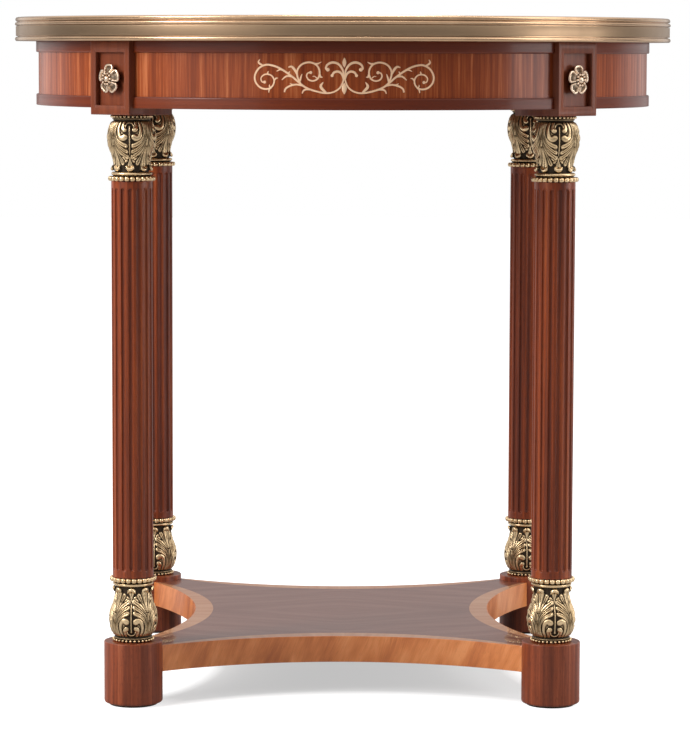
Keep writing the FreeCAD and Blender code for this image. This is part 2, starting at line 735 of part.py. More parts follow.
def make_inlay():
    width = measure("inlay_width")
    faces = []
    for number, (start, heading, stretches) in enumerate(STEMS):
        face, end = stem_face(start, heading, stretches, width)
        faces.append(face)
        if number < BALL_STEMS:
            ball = Part.makeCircle(width, end, Vector(0, 1, 0))
            faces.append(Part.Face(Part.Wire([ball])))
    faces += [face.mirror(Vector(), Vector(1, 0, 0)) for face in faces]
    low, high = BUD_SPAN
    for sign in (1, -1):
        tips = [Vector(0, 0, sign * low), Vector(0, 0, sign * high)]
        middle = sign * (low + high) / 2
        outward = Part.Arc(tips[0], Vector(BUD_HALF_WIDTH, 0, middle), tips[1])
        inward = Part.Arc(tips[1], Vector(-BUD_HALF_WIDTH, 0, middle), tips[0])
        faces.append(Part.Face(Part.Wire([outward.toShape(), inward.toShape()])))
    prisms = [face.extrude(Vector(0, -measure(rail_radius), 0)) for face in faces]
    scroll = doc.addObject("Part::Feature", "scroll_prism")
    scroll.Shape = prisms[0].multiFuse(prisms[1:]).removeSplitter()
    move(scroll, z=f"{apron_bottom} + apron_height / 2")
    skin = turned("inlay_skin", [
        (field_radius, apron_bottom),
        (f"{field_radius} + inlay_thickness", apron_bottom),
        (f"{field_radius} + inlay_thickness", edge_bottom),
        (field_radius, edge_bottom),
    ])
    sub_part(common("inlay", skin, scroll), "front_inlay")


def make_top_fixings():
    block_low = f"({edge_bottom} - block_height)"
    reach = f"{rail_radius} - {panel_inside} + block_depth"
    inner = box("block_blank", "block_length", reach, "block_height",
                x="-block_length / 2", y=f"-{rail_radius}", z=block_low)
    hollow = cylinder("apron_hollow", panel_inside, edge_bottom)
    shank = "screw_diameter / 2"
    screw = turned("screw", [
        ("0", f"{block_low} - screw_head_height"),
        ("screw_head_diameter / 2", f"{block_low} - screw_head_height"),
        ("screw_head_diameter / 2", block_low),
        (shank, block_low),
        (shank, f"{edge_bottom} + screw_bite - {shank}"),
        ("0", f"{edge_bottom} + screw_bite"),
    ])
    screws = []
    holes = []
    for side, x in (("left", "-screw_pitch / 2"), ("right", "screw_pitch / 2")):
        y = f"-({panel_inside} - block_depth / 2)"
        screws.append(group(f"screw_{side}", [screw], x=x, y=y))
        holes.append(cylinder(f"screw_hole_{side}", f"{shank} + screw_clearance", "block_height",
                              x=x, y=y, z=block_low))
    block = cut("block", common("block_fitted", inner, hollow), group("screw_holes", holes))
    group_on_sides(block, "top_fixing_blocks")
    pair = group("screw_pair", screws)
    group_on_sides(pair, "top_screws")


def make_top():
    board = cylinder("board", core_radius, f"{tabletop} - veneer_thickness - {edge_bottom}", z=edge_bottom)
    screws = doc.getObject("top_screws_group")
    sub_part(cut("drilled_board", board, screws), "top_core")
    face = f"({tabletop} - veneer_thickness)"
    field = f"({core_radius} - top_border)"
    quarter = cylinder("top_quarter", field, "veneer_thickness", z=face)
    quarter.Angle = 90
    group_on_sides(quarter, "top_quarter_veneers")
    ring = cylinder("top_face", core_radius, "veneer_thickness", z=face)
    middle = cylinder("top_field", field, "veneer_thickness", z=face)
    sub_part(cut("top_border_ring", ring, middle), "top_crossband")

    flat = f"({top_radius} - flat_setback)"
    quirk = f"({top_radius} - bead_quirk)"
    flat_low = f"({edge_bottom} + lower_bead)"
    crest_low = "(table_height - crest_bead)"
    flat_high = f"({crest_low} - middle_bead)"
    crest = f"({quirk} - crest_setback - crest_width)"
    sub_part(turned("edge", [
        (core_radius, edge_bottom),
        (quirk, edge_bottom),
        (quirk, flat_low, top_radius, f"{edge_bottom} + lower_bead / 2"),
        (flat, flat_low),
        (flat, flat_high),
        (quirk, flat_high),
        (quirk, crest_low, top_radius, f"{crest_low} - middle_bead / 2"),
        (crest, "table_height", f"{top_radius} - crest_setback", f"{crest_low} + crest_bead * 0.55"),
        (f"{crest} - crest_width", "table_height"),
        (core_radius, tabletop),
    ]), "top_edge_band")


def make_shelf():
    """A platform with four hollow edges, its corners shaped round the feet."""
    face = f"({shelf_top} - veneer_thickness)"

    def foot_cutters(name):
        cutters = []
        for leg, angle, _, _ in LEGS:
            place = polar(leg_radius, angle)
            cutters.append(cylinder(f"{name}_{leg}", foot_radius, "table_height", **place))
        return cutters

    def slab(name, z, thickness):
        return box(name, f"2 * {leg_offset}", f"2 * {leg_offset}", thickness,
                   x=f"-{leg_offset}", y=f"-{leg_offset}", z=z)

    def hollow(name, centre, radius, angle):
        return cylinder(name, radius, "table_height", **polar(centre, angle))

    inset = "(shelf_edge_radius + veneer_thickness)"
    hollows = [hollow(f"core_edge_{side}", shelf_edge_centre, inset, angle - 90) for side, angle in SIDES]
    core = cut("shelf_blank", slab("shelf_slab", shelf_bottom, shelf_core_thickness),
               fuse("shelf_cutters", hollows + foot_cutters("core_foot")))

    # a dowel along the diagonal from each foot into the corner of the shelf
    dowel_z = f"{shelf_bottom} + {shelf_core_thickness} / 2"
    dowel_length = "shelf_dowel_in_foot + shelf_dowel_in_shelf"
    dowel = cylinder("shelf_dowel", "shelf_dowel_diameter / 2", dowel_length,
                     y=f"{foot_radius} - shelf_dowel_in_foot", z=dowel_z, rotation=about_x(-90))
    group_on_legs(dowel, "shelf_dowels")
    sub_part(cut("shelf_drilled", core, doc.getObject("shelf_dowels_group")), "shelf_core")

    # thin strip bent along each hollow edge, as high as the core and the face veneer together
    strip = cut("edge_strip", hollow("strip_back", shelf_edge_centre, inset, -90),
                hollow("strip_face", shelf_edge_centre, "shelf_edge_radius", -90))
    strip = common("edge_strip_length", strip, slab("strip_slab", shelf_bottom, "shelf_thickness"))
    on_each_side(cut("shelf_edge", strip, fuse("strip_feet", foot_cutters("strip_foot"))), "shelf_edge")

    # crescent of crossbanding inside each edge strip, and four matched quarters inside those
    crescent = common("crescent_blank", hollow("crescent_line", border_centre, "border_radius", -90),
                      slab("crescent_slab", face, "veneer_thickness"))
    crescent_cutters = foot_cutters("crescent_foot")
    crescent_cutters.append(hollow("crescent_edge", shelf_edge_centre, inset, -90))
    crescent = cut("crescent", crescent, fuse("crescent_cutters", crescent_cutters))
    on_each_side(crescent, "shelf_crossband")
    quarter = box("quarter_blank", leg_offset, leg_offset, "veneer_thickness",
                  y=f"-{leg_offset}", z=face)
    quarter_cutters = foot_cutters("quarter_foot")
    quarter_cutters.append(hollow("quarter_front", border_centre, "border_radius", -90))
    quarter_cutters.append(hollow("quarter_right", border_centre, "border_radius", 0))
    quarter = cut("quarter", quarter, fuse("quarter_cutters", quarter_cutters))
    group_on_sides(quarter, "shelf_quarter_veneers")
    return dowel


make_top_fixings()
make_top()
post_dowels = make_apron_dowels()
make_apron(post_dowels)
make_inlay()
make_posts(post_dowels)
make_rosettes()
make_columns()
make_mounts()
make_tie_rods()
shelf_dowel = make_shelf()
make_feet(shelf_dowel)
doc.recompute()

# Every object is sound, and each sub-part goes to its own file

for item in doc.Objects:
    if "Invalid" in item.State or "Error" in item.State:
        raise RuntimeError(f"{item.Label} failed: {item.State}")
os.makedirs("parts", exist_ok=True)
for item in parts:
    if item.Shape.isNull() or not item.Shape.isValid():
        raise RuntimeError(f"{item.Label} has no sound shape")
    item.Shape.exportStep(f"parts/{item.Label}.step")
print(f"{len(parts)} sub-parts written")
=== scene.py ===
import cmath
import math

import bmesh
import bpy
import numpy as np
from mathutils import Matrix, Vector


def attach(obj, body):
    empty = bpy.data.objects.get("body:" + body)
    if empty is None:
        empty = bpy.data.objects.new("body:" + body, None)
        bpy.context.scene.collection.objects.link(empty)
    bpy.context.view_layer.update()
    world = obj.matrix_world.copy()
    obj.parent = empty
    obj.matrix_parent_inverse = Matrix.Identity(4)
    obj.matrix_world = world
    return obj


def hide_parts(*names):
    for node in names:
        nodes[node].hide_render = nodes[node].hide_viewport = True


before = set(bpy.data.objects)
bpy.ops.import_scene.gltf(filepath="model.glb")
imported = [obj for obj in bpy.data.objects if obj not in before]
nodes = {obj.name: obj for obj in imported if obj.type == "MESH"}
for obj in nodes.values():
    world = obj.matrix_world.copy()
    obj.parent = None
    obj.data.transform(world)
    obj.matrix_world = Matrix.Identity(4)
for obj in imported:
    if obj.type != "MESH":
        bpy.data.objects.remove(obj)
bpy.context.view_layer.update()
scene = bpy.context.scene
print("frame loaded,", len(nodes), "nodes")

mm = 0.001  # shapes below are worked out in millimetres
fullTurn = 2 * math.pi
legs = {  # direction from the middle of the table, turn of its column and of its mounts, degrees
    "front_left": (-135, 0, -2),
    "front_right": (-45, 11.25, 6),
    "rear_right": (45, 0, 0),
    "rear_left": (135, 0, 0),
}
sides = {"front": 0, "right": 90, "back": 180, "left": 270}
legRadius = 285.5
footTop = 62.0
postBottom = 568.5
postHalf = 27.5
apronTop = 638.3


# shapes
def smooth(low, high, x):
    # 0 below low, 1 above high, with a soft S between
    t = np.clip((x - low) / (high - low), 0, 1)
    return t * t * (3 - 2 * t)


def turns(count):
    # angles of one full turn in equal steps, as a column
    return (np.arange(count) * fullTurn / count)[:, None]


def polar(r, angle, z):
    # points at a radius and an angle round the Z axis, at a height
    return np.stack(np.broadcast_arrays(r * np.cos(angle), r * np.sin(angle), z), axis=2)


def closed(line):
    # a line or grid that runs on into its start
    return np.concatenate([line, line[:1]])


def arcThrough(start, via, end, count):
    # points of the circle through three points, from start to end
    a, b, c = (complex(*spot) for spot in (start, via, end))
    w = (c - a) / (b - a)
    centre = a + (b - a) * (w - abs(w) ** 2) / (w - w.conjugate())
    first, middle, last = (cmath.phase(spot - centre) for spot in (a, b, c))
    sweep = (last - first) % fullTurn
    if (middle - first) % fullTurn > sweep:
        sweep -= fullTurn
    spots = centre + (a - centre) * np.exp(1j * sweep * np.linspace(0, 1, count))
    return np.stack([spots.real, spots.imag], axis=1)


def curveThrough(points, count):
    # Catmull-Rom curve through the points, sampled evenly in its parameter
    p = np.asarray(points, float)
    p = np.vstack([2 * p[0] - p[1], p, 2 * p[-1] - p[-2]])
    s = np.linspace(0, len(p) - 3 - 1e-9, count)
    k = s.astype(int)
    t = (s - k)[:, None]
    a, b, c, d = p[k], p[k + 1], p[k + 2], p[k + 3]
    return 0.5 * (2 * b + (c - a) * t + (2 * a - 5 * b + 4 * c - d) * t**2 + (3 * b - a - 3 * c + d) * t**3)


def headings(line):
    # unit direction at each point of a line
    step = np.gradient(line, axis=0)
    return step / np.linalg.norm(step, axis=1, keepdims=True)


def runLength(line):
    # distance along a line of points, from its first point
    return np.concatenate([[0], np.cumsum(np.linalg.norm(np.diff(line, axis=0), axis=1))])


def cells(grid):
    # the four corners of each cell of a grid, in turn round the cell
    stacked = np.stack([grid[:-1, :-1], grid[1:, :-1], grid[1:, 1:], grid[:-1, 1:]], axis=2)
    return stacked.reshape(-1, 4, *grid.shape[2:])


def patch(points, uv=None, loopU=False, loopV=False, capU=False, capV=False, relief=None):
    # grid of points [u, v] as quads that face du x dv; a looped side runs on into its start,
    # and a cap closes both ends with one flat face. uv has one more line on each looped side
    nu, nv = points.shape[:2]
    if uv is None:
        uv = np.zeros((nu + loopU, nv + loopV, 2))
    index = np.arange(nu * nv).reshape(nu, nv)
    if loopU:
        index = np.vstack([index, index[:1]])
    if loopV:
        index = np.hstack([index, index[:, :1]])
    faces, corners = [cells(index)], [cells(uv)]
    if capV:
        faces += [index[:nu, 0][::-1][None], index[:nu, -1][None]]
        corners += [uv[:nu, 0][::-1][None], uv[:nu, -1][None]]
    if capU:
        faces += [index[0, :nv][None], index[-1, :nv][::-1][None]]
        corners += [uv[0, :nv][None], uv[-1, :nv][::-1][None]]
    relief = np.ones(nu * nv) if relief is None else relief.ravel()
    return {"points": points.reshape(-1, 3), "faces": faces, "uv": corners, "relief": relief}


def moved(piece, turn=0.0, x=0.0, y=0.0, z=0.0, over=False):
    # the patch turned over about X if asked, turned about Z by degrees, then shifted
    p = piece["points"]
    if over:
        p = p * [1, -1, -1]
    c, s = math.cos(math.radians(turn)), math.sin(math.radians(turn))
    turned = np.stack([p[:, 0] * c - p[:, 1] * s + x, p[:, 0] * s + p[:, 1] * c + y, p[:, 2] + z], axis=1)
    return {**piece, "points": turned}


def onLeg(patches, leg, extra=0.0, **place):
    # pieces drawn on a leg's axis, facing -Y, set on their leg and facing outward
    angle = legs[leg][0]
    x, y = (legRadius * f(math.radians(angle)) for f in (math.cos, math.sin))
    return [moved(p, turn=angle + 90 + extra, x=x, y=y, **place) for p in patches]


def revolved(profile, count, grainRadius, shift=0.0, loopV=False):
    # a profile of (radius, height) carried round the Z axis, grain running along the profile
    profile = np.asarray(profile, float)
    points = polar(profile[:, 0], turns(count), profile[:, 1])
    along = runLength(closed(profile) if loopV else profile)
    across = np.arange(count + 1)[:, None] * fullTurn / count * grainRadius + shift
    return patch(points, np.stack(np.broadcast_arrays(across, along), axis=2), loopU=True, loopV=loopV)


def bent(profile, halfAngles, count, middle, centre=(0.0, 0.0), acrossArc=False, shift=0.0):
    # a closed profile of (radius, height) carried along an arc round a centre; each radius has its own
    # half angle, so that the ends can be cut to a plane. The grain runs along the arc, or across it
    r, z = profile[:, 0], profile[:, 1]
    swing = np.linspace(-1, 1, count)[:, None] * halfAngles
    points = polar(r, math.radians(middle) + swing, z) + [*centre, 0.0]
    arc = np.hstack([swing, swing[:, :1]]) * r.max() + shift
    rim = np.broadcast_to(runLength(closed(profile)), arc.shape)
    uv = np.stack([arc, rim] if acrossArc else [rim + shift, arc], axis=2)
    return patch(points, uv, loopV=True, capU=True)


def softened(corners, radii, steps=4):
    # a closed outline whose corners are rounded by quadratic curves of the given reach
    corners = np.asarray(corners, float)
    before = np.roll(corners, 1, axis=0) - corners
    after = np.roll(corners, -1, axis=0) - corners
    reach = np.asarray(radii, float)[:, None]
    start = corners + before / np.linalg.norm(before, axis=1, keepdims=True) * reach
    stop = corners + after / np.linalg.norm(after, axis=1, keepdims=True) * reach
    t = np.linspace(0, 1, steps)[None, :, None]
    curve = (1 - t) ** 2 * start[:, None] + 2 * t * (1 - t) * corners[:, None] + t**2 * stop[:, None]
    return np.concatenate([c if radius else c[:1] for c, radius in zip(curve, radii)])


def bead(around, up, out, boxy=1.0, nu=12, nv=9):
    # a closed bead at the origin: half sizes along X, Z and Y, its outline squared off as boxy falls
    power = lambda x: np.sign(x) * np.abs(x) ** boxy
    a = turns(nu)
    b = np.linspace(-0.5, 0.5, nv + 2)[None, 1:-1] * math.pi
    points = np.stack(np.broadcast_arrays(power(np.cos(b)) * power(np.cos(a)) * around,
                                          power(np.cos(b)) * power(np.sin(a)) * out,
                                          power(np.sin(b)) * up), axis=2)
    return patch(points, loopU=True, capV=True)


def ringOf(piece, count, radius=0.0, z=0.0, first=0.0):
    # copies of a piece drawn at the origin, set round the Z axis
    step = 360 / count
    return [moved(moved(piece, y=-radius, z=z), turn=first + step * k) for k in range(count)]


def camel(label):
    first, *rest = label.split("_")
    return first + "".join(word.capitalize() for word in rest)


def linked(name, data):
    item = bpy.data.objects.new(name, data)
    scene.collection.objects.link(item)
    return item


def addPiece(node, patches, slotName, finish=None, sharp=38, weld=False):
    # one mesh from several patches, riding on the table in place of its CAD node; its finish has the slot's name
    # unless another is given
    shift = np.cumsum([0] + [len(p["points"]) for p in patches])
    points = np.concatenate([p["points"] for p in patches])
    faces = [f + s for p, s in zip(patches, shift) for f in p["faces"]]
    sizes = np.concatenate([np.full(len(f), f.shape[1]) for f in faces])
    uv = np.concatenate([u.reshape(-1, 2) for p in patches for u in p["uv"]])
    relief = np.concatenate([p["relief"] for p in patches])
    loops = np.concatenate([f.ravel() for f in faces])
    mesh = bpy.data.meshes.new(camel(node))
    mesh.vertices.add(len(points))
    mesh.vertices.foreach_set("co", (points * mm).astype(np.float32).ravel())
    mesh.loops.add(len(loops))
    mesh.loops.foreach_set("vertex_index", loops.astype(np.int32))
    mesh.polygons.add(len(sizes))
    mesh.polygons.foreach_set("loop_start", np.concatenate([[0], np.cumsum(sizes)[:-1]]).astype(np.int32))
    mesh.uv_layers.new(name="grain").data.foreach_set("uv", (uv * mm).astype(np.float32).ravel())
    mesh.attributes.new("relief", "FLOAT", "POINT").data.foreach_set("value", relief.astype(np.float32))
    mesh.update(calc_edges=True)
    mesh.validate()
    if weld:
        shell = bmesh.new()
        shell.from_mesh(mesh)
        bmesh.ops.remove_doubles(shell, verts=shell.verts, dist=1e-6)
        shell.to_mesh(mesh)
        shell.free()
    mesh.shade_smooth()
    mesh.set_sharp_from_angle(angle=math.radians(sharp))
    mesh.materials.append(finishes[finish or camel(slotName)])
    piece = linked(camel(node), mesh)
    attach(piece, "root")
    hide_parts(node)


# finishes
def tint(red, green, blue):
    # screen colour, 0 to 255, as the linear colour that shaders take
    screen = np.array([red, green, blue]) / 255
    linear = np.where(screen <= 0.04045, screen / 12.92, ((screen + 0.055) / 1.055) ** 2.4)
    return (*map(float, linear), 1.0)


def weave(tree):
    # short hand for one tree: adds a node, sets its options, feeds its inputs
    def add(kind, feeds=None, **options):
        node = tree.nodes.new("ShaderNode" + kind)
        for key, value in options.items():
            setattr(node, key, value)
        for key, value in (feeds or {}).items():
            if isinstance(value, bpy.types.NodeSocket):
                tree.links.new(value, node.inputs[key])
            else:
                node.inputs[key].default_value = value
        return node
    return add


def emptied(owner):
    # the owner's node tree with nothing in it, ready to be filled
    owner.use_nodes = True
    owner.node_tree.nodes.clear()
    return weave(owner.node_tree)


def maths(add, operation, *values):
    return add("Math", dict(enumerate(values)), operation=operation).outputs[0]


def vectors(add, operation, *values):
    return add("VectorMath", dict(enumerate(values)), operation=operation).outputs


def swung(add, value, weight, base):
    # base plus the weighted swing of a noise about its middle
    return maths(add, "MULTIPLY_ADD", maths(add, "SUBTRACT", value, 0.5), weight, base)


def ranged(add, value, fromLow, fromHigh, toLow, toHigh):
    return add("MapRange", {0: value, 1: fromLow, 2: fromHigh, 3: toLow, 4: toHigh}).outputs[0]


def blended(add, factor, first, second):
    return add("Mix", {0: factor, 6: first, 7: second}, data_type="RGBA").outputs[2]


def noise(add, vector, scale=1.0, detail=2.0, roughness=0.5, distortion=0.0):
    feeds = {"Vector": vector, "Scale": scale, "Detail": detail, "Roughness": roughness, "Distortion": distortion}
    return add("TexNoise", feeds).outputs[0]


def rampOf(add, value, stops):
    ramp = add("ValToRGB", {0: value})
    band = ramp.color_ramp.elements
    for k, (position, colour) in enumerate(stops):
        element = band[k] if k < 2 else band.new(position)
        element.position = position
        element.color = tint(*colour)
    return ramp.outputs[0]


def bumped(add, height, strength, distance):
    return add("Bump", {"Height": height, "Strength": strength, "Distance": distance}).outputs[0]


def objectPlace(add):
    return add("TexCoord").outputs["Object"]


def parts(add, vector):
    return add("SeparateXYZ", {0: vector}).outputs


def joined(add, *values):
    return add("CombineXYZ", dict(enumerate(values))).outputs[0]


def effect(name, inputs, draw):
    # a node group with named inputs; draw fills it and gives its named outputs
    group = bpy.data.node_groups.new(name, "ShaderNodeTree")
    for label, kind in inputs.items():
        group.interface.new_socket(label, in_out="INPUT", socket_type="NodeSocket" + kind)
    made = draw(weave(group), group.nodes.new("NodeGroupInput").outputs)
    for label in made:
        group.interface.new_socket(label, in_out="OUTPUT", socket_type="NodeSocketFloat")
    out = group.nodes.new("NodeGroupOutput")
    for label, socket in made.items():
        group.links.new(socket, out.inputs[label])
    return group


# lines per metre across the grain and along it, and a shift that keeps the noises apart
fibreLines = (1700.0, 45.0, 3.0)
poreLines = (2300.0, 150.0, 5.0)
driftScale = (14.0, 5.0, 1.0)
toneWeights = (2.3, 1.2, 0.7)  # stripes, broad bands, fibres
broadShare = 0.23  # broad bands for each stripe
openPores = (0.62, 0.74)  # stretch of the noise over which a pore opens
fibreHeight = 0.35  # as a share of a pore's depth


def drawGrain(add, given):
    # stripes, fibres and open pores, all drawn out along the grain (X across, Y along, metres)
    split = parts(add, given["Grain"])
    drift = noise(add, vectors(add, "MULTIPLY", given["Grain"], driftScale)[0])
    across = maths(add, "ADD", split[0], maths(add, "MULTIPLY", maths(add, "SUBTRACT", drift, 0.5), given["Wave"]))

    def drawn(perMetre, run, shift):
        return joined(add, maths(add, "MULTIPLY", across, perMetre), maths(add, "MULTIPLY", split[1], run), shift)

    run = maths(add, "MULTIPLY", given["Stripes"], given["Run"])
    stripes = noise(add, drawn(given["Stripes"], run, 0.0), detail=3.0, roughness=0.62)
    broad = noise(add, drawn(maths(add, "MULTIPLY", given["Stripes"], broadShare), run, 7.0), detail=1.0)
    fibres = noise(add, drawn(*fibreLines), detail=2.0, roughness=0.6)
    pores = ranged(add, noise(add, drawn(*poreLines), detail=1.0), *openPores, 0.0, 1.0)
    tone = 0.5
    for part, weight in zip((stripes, broad, fibres), toneWeights):
        tone = swung(add, part, weight, tone)
    height = maths(add, "MULTIPLY_ADD", fibres, fibreHeight, maths(add, "MULTIPLY", pores, -1.0))
    return {"Tone": add("Clamp", {0: tone}).outputs[0], "Pore": pores, "Height": height}


# rubbing marks and pits per metre and their shares of the bump, its depth in metres, and the stretches of the noise
# over which the brass clouds and over which its gloss falls
brassMarks = {"rubs": 900.0, "pits": 2600.0, "rubShare": 0.6, "pitShare": 0.4, "depth": 0.0001,
              "clouded": (0.34, 0.68), "dulled": (0.3, 1.6)}


def drawTarnish(add, given):
    # cloudy tarnish and fine rubbing marks on brass, in object space
    cloudy = noise(add, given["Place"], given["Cloud"], 4.0, 0.62, 0.6)
    grit = noise(add, given["Place"], brassMarks["rubs"], 2.0, 0.6)
    pits = noise(add, given["Place"], brassMarks["pits"], 1.0, 0.5)
    pitted = maths(add, "MULTIPLY", pits, brassMarks["pitShare"])
    height = maths(add, "MULTIPLY_ADD", grit, brassMarks["rubShare"], pitted)
    return {"Cloudy": ranged(add, cloudy, *brassMarks["clouded"], 0.0, 1.0), "Rubbed": grit, "Height": height}


woodGrain = effect("woodGrain", {"Grain": "Vector", "Stripes": "Float", "Run": "Float", "Wave": "Float"}, drawGrain)
brassTarnish = effect("brassTarnish", {"Place": "Vector", "Cloud": "Float"}, drawTarnish)


def finishOf(name, draw, *values):
    # a material whose shader takes the sockets that draw works out
    material = bpy.data.materials.new(name)
    add = emptied(material)
    shader = add("BsdfPrincipled", draw(add, *values))
    add("OutputMaterial", {0: shader.outputs[0]})
    return material


def ownGrain(add):
    return add("UVMap", uv_map="grain").outputs[0]


def slantedGrain(lean):
    # the piece's own grain, leaning sideways as it rises
    def grain(add):
        place = parts(add, ownGrain(add))
        return joined(add, maths(add, "MULTIPLY_ADD", place[1], lean, place[0]), place[1])
    return grain


def quarterGrain(lean):
    # four matched quarters: both coordinates are mirrored at the joints, the figure leans as a chevron
    def grain(add):
        place = parts(add, objectPlace(add))
        x, y = (maths(add, "ABSOLUTE", place[k]) for k in (0, 1))
        return joined(add, maths(add, "MULTIPLY_ADD", x, lean, y), x, 0.4)
    return grain


def radialGrain(scale, turn=0.0, centre=0.0):
    # grain that points at a centre on the -Y axis after turning the side to the front
    def grain(add):
        back = add("Mapping", {"Vector": objectPlace(add), "Rotation": (0.0, 0.0, math.radians(-turn)),
                               "Location": (0.0, centre, 0.0)})
        x, y, _ = parts(add, back.outputs[0])
        angle = maths(add, "ARCTAN2", x, y)
        radius = maths(add, "SQRT", maths(add, "MULTIPLY_ADD", x, x, maths(add, "MULTIPLY", y, y)))
        return joined(add, maths(add, "MULTIPLY", angle, scale), radius, turn / 90)
    return grain


def plankGrain(add):
    # straight grain along X for hidden boards and blocks
    x, y, z = parts(add, objectPlace(add))
    return joined(add, maths(add, "ADD", y, z), x, 0.9)


toneStops = (0.0, 0.38, 0.64, 1.0)
woodBump = (0.25, 0.00012)  # strength, and depth in metres


def drawWood(add, look, grain=ownGrain):
    # four tones along the figure, darker pores, and a shine that follows the tone under the lacquer
    feeds = {"Grain": grain(add), "Stripes": look["stripes"], "Run": look["run"], "Wave": look["wave"]}
    tone, pore, height = add("Group", feeds, node_tree=woodGrain).outputs
    colour = rampOf(add, tone, zip(toneStops, look["tones"]))
    low, high = look["gloss"]
    return {"Base Color": blended(add, maths(add, "MULTIPLY", pore, look["pores"]), colour, tint(*look["pore"])),
            "Roughness": ranged(add, tone, 0.0, 1.0, high, low), "Normal": bumped(add, height, *woodBump),
            "Specular IOR Level": look["shine"], "Coat Weight": look["lacquer"], "Coat Roughness": look["blur"]}


# tones from dark to light and the pores' colour, stripes per metre, their stretch and drift, how much the pores show,
# then roughness, shine and lacquer
mahoganyLook = {"tones": ((86, 31, 8), (117, 48, 16), (136, 58, 20), (159, 78, 34)), "pore": (62, 23, 10),
                "stripes": 210, "run": 0.012, "wave": 0.003, "pores": 0.55,
                "gloss": (0.3, 0.4), "shine": 0.4, "lacquer": 0.04, "blur": 0.12}
plainLook = {**mahoganyLook, "tones": ((96, 43, 24), (109, 52, 30), (118, 58, 33), (130, 68, 42)),
             "stripes": 120, "pores": 0.4, "shine": 0.3}
railLook = {**plainLook, "tones": ((82, 28, 8), (95, 34, 10), (105, 40, 11), (118, 48, 16)), "lacquer": 0.2}
footLook = {**mahoganyLook, "tones": ((77, 29, 13), (117, 53, 28), (139, 65, 35), (167, 90, 55)),
            "stripes": 130, "wave": 0.006, "pores": 0.8}
ribbonLook = {"tones": ((106, 42, 14), (131, 57, 22), (147, 68, 29), (180, 102, 60)), "pore": (96, 42, 22),
              "stripes": 330, "run": 0.016, "wave": 0.002, "pores": 0.3,
              "gloss": (0.3, 0.4), "shine": 0.2, "lacquer": 0.3, "blur": 0.14}
flameLook = {"tones": ((112, 57, 36), (117, 61, 39), (122, 65, 42), (129, 72, 47)), "pore": (104, 53, 36),
             "stripes": 44, "run": 0.12, "wave": 0.02, "pores": 0.2,
             "gloss": (0.28, 0.36), "shine": 0.2, "lacquer": 0.57, "blur": 0.02}
crossbandLook = {"tones": ((186, 127, 89), (190, 131, 92), (194, 136, 96), (199, 142, 102)), "pore": (180, 122, 90),
                 "stripes": 110, "run": 0.04, "wave": 0.005, "pores": 0.2,
                 "gloss": (0.28, 0.36), "shine": 0.2, "lacquer": 0.49, "blur": 0.02}
edgeLook = {"tones": ((170, 92, 45), (199, 114, 59), (215, 130, 71), (229, 149, 91)), "pore": (136, 74, 38),
            "stripes": 46, "run": 0.3, "wave": 0.03, "pores": 0.35,
            "gloss": (0.32, 0.42), "shine": 0.4, "lacquer": 0.5, "blur": 0.12}
boardLook = {"tones": ((88, 50, 30), (128, 78, 50), (148, 94, 62), (172, 116, 80)), "pore": (80, 44, 26),
             "stripes": 50, "run": 0.05, "wave": 0.02, "pores": 0.3,
             "gloss": (0.5, 0.65), "shine": 0.5, "lacquer": 0.0, "blur": 0.12}
beechLook = {**boardLook, "tones": ((150, 108, 72), (188, 146, 104), (204, 164, 120), (220, 184, 142)),
             "pore": (150, 104, 68), "stripes": 120, "wave": 0.006, "pores": 0.35, "gloss": (0.5, 0.62)}
shelfCentre = 471.6  # from the middle of the table to the centre of each hollow side

woods = {  # look, and where its grain comes from if not from the piece's own UV map
    "mahogany": [mahoganyLook], "plainMahogany": [plainLook], "railMahogany": [railLook], "footMahogany": [footLook],
    "ribbonMahogany": [ribbonLook], "flameMahogany": [flameLook, quarterGrain(0.35)],
    "edgeVeneer": [edgeLook, slantedGrain(-0.4)], "topCrossband": [crossbandLook, radialGrain(0.3)],
    "coreBoard": [boardLook, plankGrain], "beech": [beechLook, plankGrain],
}
for side, turn in sides.items():
    woods[camel(f"shelf_crossband_{side}")] = [crossbandLook, radialGrain(0.33, turn, shelfCentre * mm)]
finishes = {name: finishOf(name, drawWood, *values) for name, values in woods.items()}


def drawBrass(add, look):
    # clouded brass; its hollows hold dark patina, read from the piece's own relief attribute, which on the mounts'
    # curled tips and bell tops and under the rosettes' petals also holds painted shade, or a flat at some height is
    # satin
    place = objectPlace(add)
    feeds = {"Place": place, "Cloud": look["cloud"]}
    cloudy, rubbed, height = add("Group", feeds, node_tree=brassTarnish).outputs
    metal = blended(add, maths(add, "MULTIPLY", cloudy, look["tarnish"]), tint(*look["bright"]), tint(*look["dull"]))
    rough = ranged(add, maths(add, "ADD", cloudy, rubbed), *brassMarks["dulled"], *look["gloss"])
    if "patina" in look:
        wearPatinaAndShade = swung(add, rubbed, look["wornSwing"], add("Attribute", attribute_name="relief").outputs["Fac"])
        metal = blended(add, ranged(add, wearPatinaAndShade, *look["wornBand"], 0.0, 1.0), tint(*look["patina"]), metal)
        rough = maths(add, "MULTIPLY_ADD", ranged(add, wearPatinaAndShade, *look["wornBand"], 1.0, 0.0), look["patinaBlur"], rough)
        metallic = ranged(add, wearPatinaAndShade, 0.0, 0.5, look["patinaMetal"], 1.0)
    else:
        metallic = look["metal"]
    if "satin" in look:
        flat = maths(add, "COMPARE", parts(add, place)[2], *look["satinBand"])
        rough = maths(add, "MULTIPLY_ADD", flat, look["satinBlur"], rough)
        metal = blended(add, maths(add, "MULTIPLY", flat, look["satinShare"]), metal, tint(*look["satin"]))
    return {"Base Color": metal, "Roughness": rough, "Metallic": metallic,
            "Normal": bumped(add, height, look["bump"], brassMarks["depth"])}


